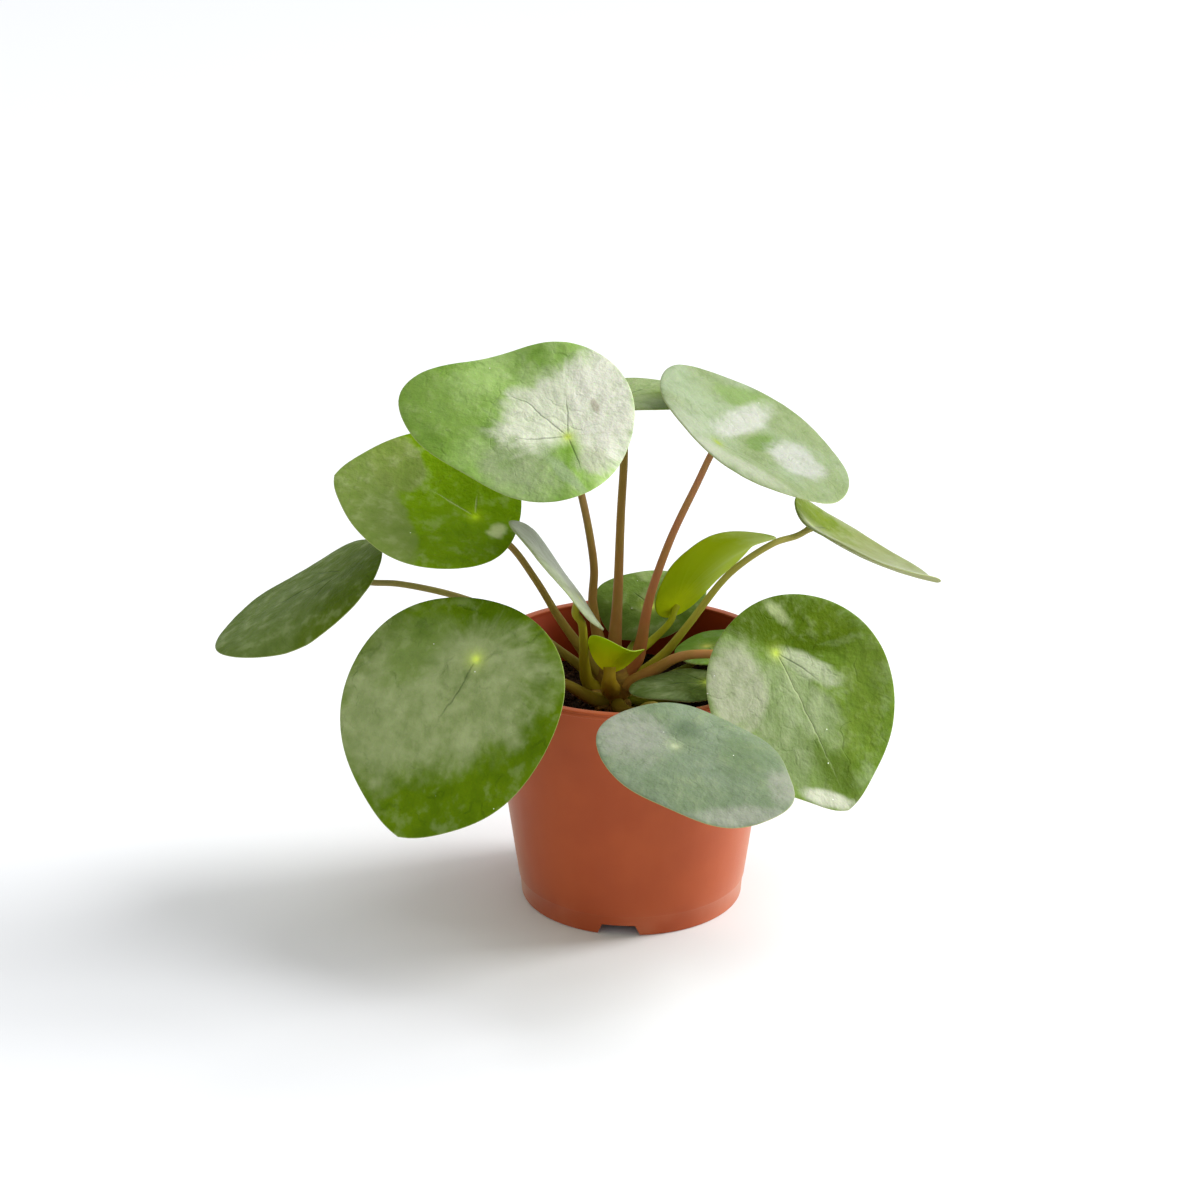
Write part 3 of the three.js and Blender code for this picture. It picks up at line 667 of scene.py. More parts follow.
# %% The patterns on a blade, with their sizes in millimetres
TONE_SIZE, SHEEN_STREAK_SIZE, RAGGED_SIZE = 30, 9, 8
CRINKLE_SIZE, GRAIN_SIZE, SPECK_SPACING = 6.5, 1.8, 9
STREAKS, STREAK_LENGTH = 4.5, 16
BEND_SIZE, BEND_REACH = 6, 5.0
CREASE_SIZE, CREASE_AREA, WRINKLE_SIZE, WRINKLE_AREA, WRINKLE_WIDTH = 7, 20, 22, 12, 0.013
VEIN_WIDTH, WAVER_SIZE, WAVER_REACH = 0.32, 14, 6.5
SPOT_RADIUS, GLOW_RADIUS = 1.5, 3.6
UNDER_MOTTLE, NEAR_REACH, FAR_REACH, RIB_REACH = 7, (6.0, 22.0), (0.66, 0.86), (6.0, 30.0)


def seen(code, light):
    """The surface colour that looks like the code in that share of the light."""
    return (*(min(channel / light, 0.9) for channel in rgb(code)[:3]), 1.0)


def leaf_pattern(board):
    """The place on the blade in millimetres, its parts, the share of the way to the margin, and the
    distance from the stalk."""
    place = board.node("ShaderNodeAttribute", {"attribute_name": "plane"}, output="Vector")
    share = board.node("ShaderNodeAttribute", {"attribute_name": "share"}, output="Fac")
    u, v, _ = board.split(place)
    return place, u, v, share, board.hypot(u, v)


def outward_streaks(board, u, v, distance, shift):
    """Soft streaks that run out from the stalk."""
    outwards = board.join(u / distance * STREAKS, v / distance * STREAKS, distance / STREAK_LENGTH + shift)
    streaks = board.cloud(outwards, 1.0, detail=3.0, rough=0.6) - 0.5
    return 0.5 + streaks * board.step(distance, 3.0, 22.0)


def wrinkle_masks(board, place):
    """Creases between flat cells, and wrinkles that wander where a noise crosses its middle."""
    bent = board.scale(board.cloud(place, BEND_SIZE).output("Color"), BEND_REACH)
    bent = board.vector("ADD", place, bent)
    sockets = {"Vector": bent, "Scale": 1 / CREASE_SIZE}
    net = board.node("ShaderNodeTexVoronoi", {"feature": "DISTANCE_TO_EDGE"}, sockets)
    here = board.step(board.cloud(place, CREASE_AREA, detail=2.0), 0.48, 0.6)
    crease = (1 - board.step(net, 0.0, 0.12)) * here * 0.4
    wandering = board.bell(board.cloud(bent, WRINKLE_SIZE, detail=2.0) - 0.5, WRINKLE_WIDTH)
    return crease, wandering * board.step(board.cloud(place, WRINKLE_AREA), 0.45, 0.62)


def oval_mask(board, u, v, ragged, softness, ovals):
    """1 inside an oval given by its middle and two half axes, falling to 0 over a ragged rim."""
    middle, first, second = ovals
    area = first.x * second.y - first.y * second.x
    x, y = u - middle.x, v - middle.y
    across = x * (second.y / area) - y * (second.x / area)
    along = y * (first.x / area) - x * (first.y / area)
    return 1 - board.step(board.hypot(across, along) + ragged, 1 - softness, 1 + softness)


def vein_mask(board, u, v, waver, angle, reach):
    """A thin wavering line from the stalk outwards, fading away at its reach."""
    cosine, sine = math.cos(math.radians(angle)), math.sin(math.radians(angle))
    run = u * cosine + v * sine
    aside = v * cosine - u * sine + waver * board.step(run, 2.0, 20.0)
    inside = board.step(run, 1.0, 3.0) * (1 - board.step(run, reach * 0.5, reach))
    return board.bell(aside, VEIN_WIDTH) * inside


def add_painted_sheen(board, leaf, light, u, v, ragged, crinkle, colour, gloss):
    """Paints the leaf's patches, most of them painted reflections, and gives the new colour and gloss."""
    for tone, strength, softness, *ovals in PAINTED_SHEEN.get(leaf["name"], []):
        ovals = [Vector(oval) * leaf["length"] for oval in ovals]
        mask = oval_mask(board, u, v, ragged * (2 * softness + 0.2), softness, ovals) * strength
        white = sum(rgb(tone)[:3]) / 3
        broken = 0.9 + 0.2 * board.step(crinkle, 0.35, 0.6)
        colour = board.mix(board.math("MINIMUM", mask * broken, 1.0), colour, seen(tone, light))
        gloss = board.math("MAXIMUM", gloss * (1 - mask), mask * white)
    return colour, gloss


def add_veins(board, leaf, looks, place, u, v, colour, grooves):
    """Draws the leaf's veins, and gives the new colour and grooves."""
    waver = (board.cloud(place, WAVER_SIZE, detail=3.0) - 0.5) * WAVER_REACH
    for angle, reach, tone in looks["veins"]:
        line = vein_mask(board, u, v, waver, angle, reach * leaf["length"])
        grooves = grooves + line
        ink, depth = (VEIN, 0.38) if tone == "dark" else (seen(PALE_VEIN_AND_CRINKLE_HIGHLIGHT, looks["light"]), 0.3)
        colour = board.mix(line * depth, colour, ink)
    return colour, grooves


def add_margin(board, share, colour):
    return board.mix(board.step(share, 0.985, 0.996) * 0.7, colour, MARGIN)


print("the plain green as a surface:", [round(c, 3) for c in seen(PLAIN_LEAF["base"], 1.0)])

# %% The blades' materials
LEAF_FLESH = {
    "Subsurface Weight": 0.1,
    "Subsurface Radius": (0.4, 1.0, 0.15),
    "Subsurface Scale": 0.8 * MM,
}


def upper_material(leaf):
    looks = {**PLAIN_LEAF, **LEAF_LOOKS[leaf["name"]]}
    light = looks["light"]
    material, board, shader = new_material("leaf_upper_" + leaf["name"])
    place, u, v, share, distance = leaf_pattern(board)
    crinkle = board.cloud(place, CRINKLE_SIZE, detail=4.0, rough=0.55)
    fine = board.cloud(place, GRAIN_SIZE, detail=3.0, rough=0.6)
    radial = outward_streaks(board, u, v, distance, light)

    tones = board.step(board.cloud(place, TONE_SIZE), 0.35, 0.65)
    colour = board.mix(tones, seen(looks["base"], light), seen(looks["second"], light))
    # Painted sheen: pale grey-green streaks running out from the stalk, where the leaf mirrors the room;
    # they also raise the coat.
    painted_sheen_streaks = radial * 0.6 + 0.4 * board.cloud(place, SHEEN_STREAK_SIZE, detail=3.0)
    painted_sheen_streaks = board.step(painted_sheen_streaks, 0.5, 0.66) * looks["painted_sheen_streaks"]
    colour = board.mix(painted_sheen_streaks, colour, seen(PAINTED_SHEEN_TONE, light))
    ragged = board.cloud(place, RAGGED_SIZE, detail=4.0, rough=0.6) - 0.5
    ragged = ragged * 0.5 + (radial - 0.5) * 1.1
    gloss = board.math("MAXIMUM", painted_sheen_streaks * 0.5, looks["coat"] * 2)
    colour, gloss = add_painted_sheen(board, leaf, light, u, v, ragged, crinkle, colour, gloss)

    crease, wrinkle = wrinkle_masks(board, place)
    wrinkle = wrinkle * looks["wrinkles"]
    # Painted shade dims the hollows of the crinkles, the fine grain, the creases and the wrinkles, less
    # where the leaf is glossy; a painted highlight lightens the crests of the crinkles.
    painted_shade = board.step(crinkle, 0.5, 0.32) * 0.35 + board.step(fine, 0.45, 0.25) * 0.1 + crease * 0.07
    painted_shade = board.math("MINIMUM", painted_shade + wrinkle * 0.5, 1.0) * (1 - 0.8 * gloss)
    colour = board.mix(painted_shade, colour, board.mix(1.0, colour, PAINTED_SHADE_TINT, "MULTIPLY"))
    colour = board.mix(board.step(crinkle, 0.5, 0.7) * 0.12, colour, seen(PALE_VEIN_AND_CRINKLE_HIGHLIGHT, light))
    colour, grooves = add_veins(board, leaf, looks, place, u, v, colour, crease + wrinkle)

    spot = seen(looks["spot"], light)
    colour = board.mix(board.bell(distance, GLOW_RADIUS) * 0.4, colour, spot)
    colour = board.mix(board.bell(distance, SPOT_RADIUS), colour, spot)
    colour = add_margin(board, share, colour)
    cells = board.node("ShaderNodeTexVoronoi", sockets={"Vector": place, "Scale": 1 / SPECK_SPACING})
    colour = board.mix(1 - board.step(cells, 0.02, 0.035), colour, SPECK)
    set_shader(board, shader, {
        "Base Color": colour,
        "Roughness": 0.5 + 0.1 * (fine - 0.5),
        "Normal": board.bump(crinkle + 0.1 * fine + 0.45 * radial - 0.25 * grooves, 0.9, 1.4 * MM),
        "Specular IOR Level": 0.04,
        "Coat Weight": gloss * 0.5,
        "Coat Roughness": 0.28,
        **LEAF_FLESH,
    })
    return material


def under_material(leaf):
    looks = {**PLAIN_LEAF, **LEAF_LOOKS[leaf["name"]]}
    under, vein, near, far = (
        seen(looks[key] or looks["under"], looks["under_light"])
        for key in ("under", "under_vein", "near", "far")
    )
    material, board, shader = new_material("leaf_under_" + leaf["name"])
    place, u, v, share, distance = leaf_pattern(board)
    mottle = board.cloud(place, UNDER_MOTTLE, detail=4.0, rough=0.6)
    colour = board.mix((mottle - 0.3) * 0.5, under, vein)
    near_mask = 1 - board.step(distance + 10 * mottle, *NEAR_REACH)
    ends = [leaf["length"] * end for end in FAR_REACH]
    far_mask = board.step(u + 16 * (mottle - 0.5), *ends)
    colour = board.mix(far_mask, board.mix(near_mask, colour, near), far)
    colour = add_margin(board, share, colour)
    angle = vein_angle(board, board.math("ARCTAN2", v, u), 0.5)
    ribs = (board.math("COSINE", VEINS * angle) * 0.5 + 0.5) ** 24
    ribs = ribs * (1 - board.step(distance, *RIB_REACH))
    set_shader(board, shader, {
        "Base Color": board.mix(ribs * 0.06, colour, vein),
        "Roughness": 0.5 + 0.12 * mottle,
        "Normal": board.bump(0.4 * mottle + 0.3 * ribs, 0.5, 0.3 * MM),
        "Specular IOR Level": 0.05,
        **LEAF_FLESH,
    })
    return material


# %% Grow the blades
YOUNG_LEAVES = ("young_right", "bud")
SHARP_LEAVES = ("upper_left", "front_left", "front_right", "far_right")
SHARP_TIP, LARGE_LENGTH = 0.022, 50
LARGE_GRID, SMALL_GRID = (44, 145), (30, 97)


def make_blade(leaf, index):
    values = {name: float(leaf[name.lower().replace(" ", "_")]) for name in SHAPE_INPUTS[:-2]}
    values["Roll at"] = math.radians(leaf["roll_at"])
    values["Phase"] = WAVE_PHASE * index
    values["Tip"] = SHARP_TIP if leaf["name"] in SHARP_LEAVES else 0.0
    values["Rings"], values["Sectors"] = LARGE_GRID if leaf["length"] > LARGE_LENGTH else SMALL_GRID
    values["Upper"], values["Under"] = upper_material(leaf), under_material(leaf)
    mesh = grow("leaf_" + leaf["name"], bpy.data.meshes.new("start"), BLADE_TREE, values)
    mesh.transform(leaf_frame(leaf))
    slot = "young_blade" if leaf["name"] in YOUNG_LEAVES else "blade"
    return add_piece("leaf_" + leaf["name"], mesh, slot, "blade_" + leaf["name"])


for index, leaf in enumerate(LEAVES):
    blade = make_blade(leaf, index)
    print(blade.name, len(blade.data.polygons), "faces")

# %% [markdown]
# A stalk is a round tube that thins on its way up, swells where it leaves the stem and flares where it
# carries the blade. Its route is a smooth curve through chosen points. The points go in as a line of
# edges, and a Geometry Nodes tree turns the line into a curve, gives every step its own thickness and
# sweeps a circle along it. What would stick out of the blade's face is pressed down onto a plane
# inside the blade.

# %% A smooth curve through points
GAP = 0.3
NECK, UPRIGHTNESS, CURVE_STEPS = 6, 0.35, 12


def smooth_curve(points, steps):
    """Points on a centripetal Catmull-Rom curve, with steps to each stretch."""
    padded = [2 * points[0] - points[1], *points, 2 * points[-1] - points[-2]]
    made = []
    for p0, p1, p2, p3 in zip(padded, padded[1:], padded[2:], padded[3:]):
        t0, t1, t2 = ((q - p).length ** 0.5 for p, q in ((p0, p1), (p1, p2), (p2, p3)))
        start = ((p1 - p0) / t0 - (p2 - p0) / (t0 + t1) + (p2 - p1) / t1) * t1
        end = ((p2 - p1) / t1 - (p3 - p1) / (t1 + t2) + (p3 - p2) / t2) * t1
        for i in range(steps):
            t = i / steps
            made.append(
                (2 * t ** 3 - 3 * t ** 2 + 1) * p1 + (t ** 3 - 2 * t ** 2 + t) * start
                + (3 * t ** 2 - 2 * t ** 3) * p2 + (t ** 3 - t ** 2) * end
            )
    return [*made, points[-1]]


def stalk_route(leaf):
    """The stalk's middle line from inside the stem to inside the blade."""
    upward = leaf_frame(leaf).to_3x3().col[2]
    route = [Vector(point) for point in leaf["route"]]
    end = Vector(leaf["at"]) - upward * (BLADE_THICKNESS + GAP)
    approach = (end - route[-1]).normalized()
    arrival = (approach + UPRIGHTNESS * upward).normalized()
    neck = end - arrival * min(NECK, (end - route[-1]).length / 2)
    points = smooth_curve([*route, neck, end], CURVE_STEPS)
    return [*points, end + arrival * (GAP + BLADE_THICKNESS)]


print("points on the first stalk:", len(stalk_route(LEAVES[0])))


# %% The stalks' tree
STALK_STEPS, STALK_SIDES = 90, 18
SWELL_REACH, FLARE_REACH, KNOT_SIZE, KNOT_SHARE = 22, 2, 6, 0.05


def even_curve(board, line, steps):
    """A line of edges as a curve with evenly spaced points."""
    curve = board.node("GeometryNodeMeshToCurve", sockets={"Mesh": line})
    return board.node("GeometryNodeResampleCurve", sockets={"Curve": curve, "Count": steps})


def round_tube(board, curve, sides, radius):
    """A closed round tube along a curve."""
    ring = board.node("GeometryNodeCurvePrimitiveCircle", sockets={"Resolution": sides, "Radius": 1.0})
    sockets = {"Curve": curve, "Profile Curve": ring, "Scale": radius, "Fill Caps": True}
    return board.node("GeometryNodeCurveToMesh", sockets=sockets)


def stalk_tree():
    inputs = {
        "length": ["Foot width", "Tip width", "Foot swell", "Tip flare"],
        "place": ["Blade point", "Blade normal"],
        "finish": ["Skin"],
    }
    board, given = new_tree("Stalk", inputs)
    even = even_curve(board, given["Geometry"], STALK_STEPS)
    along = board.node("GeometryNodeSplineParameter", output="Factor")
    run = board.node("GeometryNodeSplineParameter", output="Length")
    total = board.node("GeometryNodeSplineLength", output="Length")

    taper = given["Foot width"] + (given["Tip width"] - given["Foot width"]) * board.math("SQRT", along)
    swell = given["Foot swell"] * board.bell(run, SWELL_REACH * MM)
    flare = given["Tip flare"] * board.bell(total - run, FLARE_REACH * MM)
    knots = board.cloud(board.node("GeometryNodeInputPosition"), KNOT_SIZE * MM) - 0.5
    width = taper * (1 + swell + flare) * (1 + KNOT_SHARE * knots)
    tube = round_tube(board, stored(board, even, "along", along), STALK_SIDES, width * 0.5)

    above = board.vector("SUBTRACT", board.node("GeometryNodeInputPosition"), given["Blade point"])
    over = board.vector("DOT_PRODUCT", above, given["Blade normal"], output="Value")
    press = board.scale(given["Blade normal"], -board.math("MAXIMUM", over, 0.0))
    end_tree(board, moved(board, tube, Offset=press), given["Skin"])
    return board.tree


STALK_TREE = stalk_tree()
print("stalk tree:", len(STALK_TREE.nodes), "nodes")

# %% [markdown]
# The stalks are smooth, slightly waxy and never one colour: most are reddish brown on the older
# leaves and olive on the younger ones, greener at one end. The tree stored how far along the stalk
# each point is, so the material can change on the way up.

# %% The stalks' materials
STALK_LOOKS = {
    "top_left": ("#a67c3a", "#8c7040"),
    "upper_left": ("#94802a", "#a08048"),
    "far_left": ("#92841c", "#a09060"),
    "front_left": ("#8c7818", "#8a7a30"),
    "front": ("#8c7418", "#8a7a30"),
    "front_right": ("#b4883c", "#e09468"),
    "top_right": ("#b8703c", "#aa7050"),
    "far_right": ("#b8b408", "#aca45c"),
    "top_back": ("#ac763a", "#8a7238"),
    "young_right": ("#b0ac14", "#b8bc20"),
    "back_low": ("#848a18", "#8a9a2c"),
    "right_low": ("#848a18", "#8a9a2c"),
    "front_low": ("#848a18", "#8a9a2c"),
    "bud": ("#c0922c", "#b49a18"),
    "inner_left": ("#a49410", "#a4a428"),
}
BROWN_STALKS = ("top_left", "upper_left", "front_right", "top_right", "top_back")
STREAK_WIDTH, BLOTCH_SIZE = 1.6, 9


def stalk_material(leaf):
    foot, tip = STALK_LOOKS[leaf["name"]]
    material, board, shader = new_material("stalk_" + leaf["name"])
    along = board.node("ShaderNodeAttribute", {"attribute_name": "along"}, output="Fac")
    place = board.node("ShaderNodeTexCoord", output="Object")
    drawn_out = board.vector("MULTIPLY", place, (1.0, 1.0, 0.2))
    streaks = board.cloud(drawn_out, STREAK_WIDTH * MM, detail=3.0)
    blotch = board.cloud(place, BLOTCH_SIZE * MM)
    colour = board.mix(along, rgb(foot), rgb(tip))
    colour = board.mix(board.step(blotch, 0.35, 0.75) * 0.25, colour, rgb("#8e8c20"))
    colour = board.mix((streaks - 0.4) * 0.25, colour, rgb("#c4a468"))
    set_shader(board, shader, {
        "Base Color": colour,
        "Roughness": 0.45 + 0.15 * streaks,
        "Normal": board.bump(streaks, 0.4, 0.15 * MM),
        "Specular IOR Level": 0.15,
        "Subsurface Weight": 0.1,
        "Subsurface Radius": (1.0, 0.7, 0.2),
        "Subsurface Scale": 1.0 * MM,
    })
    return material


# %% Grow the stalks
FOOT_SWELL, TIP_FLARE = 0.55, 0.35


def line_mesh(points):
    mesh = bpy.data.meshes.new("line")
    edges = [(i, i + 1) for i in range(len(points) - 1)]
    mesh.from_pydata([point * MM for point in points], edges, [])
    return mesh


def make_stalk(leaf):
    upward = leaf_frame(leaf).to_3x3().col[2]
    foot, tip = leaf["thick"]
    values = {
        "Foot width": foot * MM, "Tip width": tip * MM,
        "Foot swell": leaf.get("swell", FOOT_SWELL), "Tip flare": TIP_FLARE,
        "Blade point": (Vector(leaf["at"]) - upward * BLADE_THICKNESS / 2) * MM,
        "Blade normal": upward,
        "Skin": stalk_material(leaf),
    }
    mesh = grow("stalk_" + leaf["name"] + "_fine", line_mesh(stalk_route(leaf)), STALK_TREE, values)
    slot = "brown_stalk" if leaf["name"] in BROWN_STALKS else "green_stalk"
    return add_piece("petiole_" + leaf["name"], mesh, slot, "stalk_" + leaf["name"])


for leaf in LEAVES:
    stalk = make_stalk(leaf)
    print(stalk.name, len(stalk.data.polygons), "faces")

# %% [markdown]
# The stem is short, stout and knobbly, with rings where old leaves fell and a few dry stubs. It is
# the same kind of tube as a stalk, but its outline is lumpy all the way up. So it has a small tree of
# its own: a tube whose radius follows the heights given, with lumps pushed out by noise. The stubs go
# through the same tree.

# %% The stem
STEM_X = -7
STEM_HEIGHTS = (72, 76, 84, 92, 97, 100)
STEM_RADII = (7.4, 7.4, 7.6, 7.2, 5.6, 2.2)
STEM_STEPS, STEM_SIDES = 60, 40
LUMP_SIZE, LUMP_HEIGHT = 4, 1.2
RING_SPACING, BARK_BLOTCH = 2.2, 5
STUB_RADII = (2.2, 1.9, 0.9)
STUBS = [
    [(-9, -3, 84), (-13, -6, 87), (-16, -8, 88.5)],
    [(-10, -1, 86), (-15, -3, 90), (-17.5, -4, 94)],
    [(-9, -4, 82), (-12, -8, 83), (-14, -11, 83)],
    [(-4, -4, 81.5), (-2, -8, 83.5), (-1, -10, 84)],
]


def stem_material():
    material, board, shader = new_material("stem")
    place = board.node("ShaderNodeTexCoord", output="Object")
    flattened = board.vector("MULTIPLY", place, (0.25, 0.25, 1.0))
    rings = board.cloud(flattened, RING_SPACING * MM, detail=3.0)
    blotch = board.cloud(place, BARK_BLOTCH * MM)
    colour = board.mix(board.step(rings, 0.35, 0.65), rgb("#86661a"), rgb("#b08c28"))
    colour = board.mix(board.step(blotch, 0.45, 0.7) * 0.6, colour, rgb("#8c5c26"))
    set_shader(board, shader, {
        "Base Color": colour,
        "Roughness": 0.6 + 0.2 * rings,
        "Normal": board.bump(rings, 0.7, 0.5 * MM),
    })
    return material


def stem_tree():
    board, given = new_tree("Stem", {"finish": ["Bark"]})
    even = even_curve(board, given["Geometry"], STEM_STEPS)
    radius = board.node("GeometryNodeInputNamedAttribute", {"data_type": "FLOAT"}, {"Name": "girth"})
    tube = round_tube(board, even, STEM_SIDES, radius)
    lumps = board.cloud(board.node("GeometryNodeInputPosition"), LUMP_SIZE * MM, detail=2.0) - 0.5
    push = board.scale(board.node("GeometryNodeInputNormal"), lumps * (LUMP_HEIGHT * MM))
    end_tree(board, moved(board, tube, Offset=push), given["Bark"])
    return board.tree


def girth_line(runs):
    """Separate lines of edges with a girth at every point."""
    points, edges, girths = [], [], []
    for run, girth in runs:
        edges += [(len(points) + i, len(points) + i + 1) for i in range(len(run) - 1)]
        points += [Vector(point) * MM for point in run]
        girths += [g * MM for g in girth]
    mesh = bpy.data.meshes.new("line")
    mesh.from_pydata(points, edges, [])
    mesh.attributes.new("girth", "FLOAT", "POINT").data.foreach_set("value", girths)
    return mesh


stem_runs = [([(STEM_X, 0, z) for z in STEM_HEIGHTS], STEM_RADII)]
stem_runs += [(stub, STUB_RADII) for stub in STUBS]
stem_mesh = grow("stem_fine", girth_line(stem_runs), stem_tree(), {"Bark": stem_material()})
stem = add_piece("trunk", stem_mesh, "stem", "stem")
print(stem.name, len(stem.data.polygons), "faces")

# %% [markdown]
# The soil is dark, moist peat: a lumpy surface strewn with crumbs of many sizes and some flat bits of
# bark. The body is a turned shape with fine rings on top. A Geometry Nodes tree lifts the top with
# noise and strews crumbs over it from a fixed seed, each turned and sized at random.

# %% Turned shapes
def turned_mesh(name, profile, segments):
    """A closed body from a profile of (radius, height) points that starts and ends on the axis."""
    shape = bmesh.new()
    angles = [2 * math.pi * s / segments for s in range(segments)]
    rows = []
    for radius, height in profile:
        if radius == 0:
            rows.append([shape.verts.new((0, 0, height * MM))])
            continue
        ring = [(radius * MM * math.cos(a), radius * MM * math.sin(a), height * MM) for a in angles]
        rows.append([shape.verts.new(point) for point in ring])
    for low, high in zip(rows, rows[1:]):
        for s in range(segments):
            t = s + 1
            corners = [low[s % len(low)], low[t % len(low)], high[t % len(high)], high[s % len(high)]]
            shape.faces.new(list(dict.fromkeys(corners)))
    mesh = bpy.data.meshes.new(name)
    shape.to_mesh(mesh)
    shape.free()
    return mesh


# %% The pot's sizes, as in the frame
POT = dict(
    height=101, foot=44, wall_top=57.6, lip=60, lip_height=2.3, round=0.5, wall=1.4, floor=1.6,
    step=8.6, step_depth=0.5,
)
LIP_FOOT = POT["height"] - POT["lip_height"]


def wall_radius(height):
    rise = (height - POT["step"]) / (LIP_FOOT - POT["step"])
    base = POT["foot"] + (POT["wall_top"] - POT["foot"]) * POT["step"] / POT["height"]
    return base + (POT["wall_top"] - base) * rise


def inner_radius(height):
    rise = (height - POT["step"]) / (LIP_FOOT - POT["step"])
    foot = wall_radius(POT["step"]) - POT["wall"] - POT["step_depth"]
    return foot + (POT["wall_top"] - POT["wall"] - foot) * rise


print("wall half way up:", round(wall_radius(50), 1), "mm")

# %% The soil's materials
LUMPS_ACROSS, GRAINS_ACROSS = 3, 0.7


def crumb_material(name, dark, light):
    material, board, shader = new_material(name)
    place = board.node("ShaderNodeTexCoord", output="Object")
    lumps = board.cloud(place, LUMPS_ACROSS * MM, detail=4.0, rough=0.65)
    grains = board.cloud(place, GRAINS_ACROSS * MM, detail=3.0, rough=0.6)
    colour = board.mix(board.step(lumps, 0.35, 0.7), rgb(dark), rgb(light))
    set_shader(board, shader, {
        "Base Color": board.mix((grains - 0.5) * 0.8, colour, rgb("#6a4426")),
        "Roughness": 0.8 + 0.15 * grains,
        "Normal": board.bump(grains + lumps, 0.9, 0.6 * MM),
        "Specular IOR Level": 0.1,
    })
    return material


# %% The soil's tree
SOIL_TOP, SOIL_SKIN = 80, 3
SOIL_LUMP, SOIL_LIFT, SOIL_LEVEL = 9, 5, 0.6
STREWN_RADIUS = 50.5
DENT_SIZE, DENT_DEPTH = 1.2, 1.6
SPIN_SEED, SIZE_SEED = 11, 21

# What is strewn: its material, its smallest and largest size, its flatness, and its share.
STREWN = (("Crumb", (0.35, 1.3), 0.75, 1.0), ("Bark", (0.5, 1.6), 0.35, 0.16))


def dented_lump(board, flatness):
    """A small squashed ball with dents."""
    ball = board.node("GeometryNodeMeshIcoSphere", sockets={"Radius": 1 * MM, "Subdivisions": 1})
    here = board.node("GeometryNodeInputPosition")
    dent = board.cloud(here, DENT_SIZE * MM) - 0.5
    dented = moved(board, ball, Offset=board.scale(here, dent * DENT_DEPTH))
    sockets = {"Geometry": dented, "Scale": (1.5, 1.0, flatness)}
    return board.node("GeometryNodeTransform", sockets=sockets)


def soil_tree():
    inputs = {"length": ["Density"], "count": ["Seed"], "finish": ["Peat", "Crumb", "Bark"]}
    board, given = new_tree("Soil", inputs)
    here = board.node("GeometryNodeInputPosition")
    x, y, z = board.split(here)
    on_top = board.math("GREATER_THAN", z, (SOIL_TOP - SOIL_SKIN) * MM)
    inside = board.math("LESS_THAN", board.hypot(x, y), STREWN_RADIUS * MM)
    lift = board.cloud(here, SOIL_LUMP * MM, detail=4.0, rough=0.6) - 0.5
    offset = board.join(0.0, 0.0, lift * (SOIL_LIFT * MM))
    body = moved(board, given["Geometry"], Selection=on_top, Offset=offset)
    body = finished(board, body, given["Peat"])
    parts = [body]
    for number, (finish, (small, big), flatness, share) in enumerate(STREWN):
        _, _, facing = board.split(board.node("GeometryNodeInputNormal"))
        level = board.math("GREATER_THAN", facing, SOIL_LEVEL) * on_top * inside
        spots = board.node("GeometryNodeDistributePointsOnFaces", sockets={
            "Mesh": body,
            "Selection": level,
            "Density": given["Density"] * share,
            "Seed": given["Seed"] + number,
        })
        spin = board.node("FunctionNodeRandomValue", {"data_type": "FLOAT_VECTOR"}, {
            0: (-0.5, -0.5, 0.0), 1: (0.5, 0.5, 2 * math.pi), "Seed": SPIN_SEED + number,
        })
        chance = board.node("FunctionNodeRandomValue", {"data_type": "FLOAT"}, {
            2: 0.0, 3: 1.0, "Seed": SIZE_SEED + number,
        }, output=1)
        size = small + (big - small) * chance ** 3
        placed = board.node("GeometryNodeInstanceOnPoints", sockets={
            "Points": spots,
            "Instance": dented_lump(board, flatness),
            "Rotation": spin,
            "Scale": board.join(size, size, size),
        })
        real = board.node("GeometryNodeRealizeInstances", sockets={"Geometry": placed})
        parts.append(finished(board, real, given[finish]))
    end_tree(board, joined(board, parts))
    return board.tree


# %% Grow the soil
SOIL_GAP = 0.35
SOIL_RINGS, SOIL_SEGMENTS = 40, 120


def soil_body():
    shoulder = SOIL_TOP - 0.5
    top = inner_radius(shoulder) - SOIL_GAP
    profile = [(0, POT["floor"] + GAP), (POT["foot"] - 6, POT["floor"] + GAP)]
    profile += [(inner_radius(z) - SOIL_GAP, z) for z in (POT["step"], 30, 55, shoulder - 4)]
    profile += [(top, shoulder - 1), (top - 1, shoulder)]
    profile += [((top - 1) * (1 - i / SOIL_RINGS), SOIL_TOP) for i in range(1, SOIL_RINGS)]
    return turned_mesh("soil_start", [*profile, (0, SOIL_TOP)], SOIL_SEGMENTS)


soil_values = {
    "Density": 420000.0, "Seed": 4,
    "Peat": crumb_material("peat", "#160c06", "#341e10"),
    "Crumb": crumb_material("crumbs", "#1c1008", "#402818"),
    "Bark": crumb_material("bark_bits", "#34200f", "#6a4628"),
}
soil_mesh = grow("soil_fine", soil_body(), soil_tree(), soil_values)
soil = add_piece("potting_soil", soil_mesh, "soil", "soil")
print(soil.name, len(soil.data.polygons), "faces")

# %% [markdown]
# The pot is a thin moulded shell. Turning a profile gives the wall, the flat lip and the faint step
# near the foot. The three drainage channels are bars: a wider one is joined to the floor as the
# channel's roof, and the channel itself and its drain hole are cut out, with Boolean modifiers. The
# plastic is matt with a soft sheen at its edges and a little dusty at the foot. Its colour is deeper
# on the inside of the wall, as painted shade.

# %% The pot's profile
def arc(middle, radius, start, end, steps=5):
    """Points on an arc in the profile, with angles in degrees from straight outwards."""
    angles = [math.radians(start + (end - start) * i / steps) for i in range(steps + 1)]
    return [(middle[0] + radius * math.cos(a), middle[1] + radius * math.sin(a)) for a in angles]


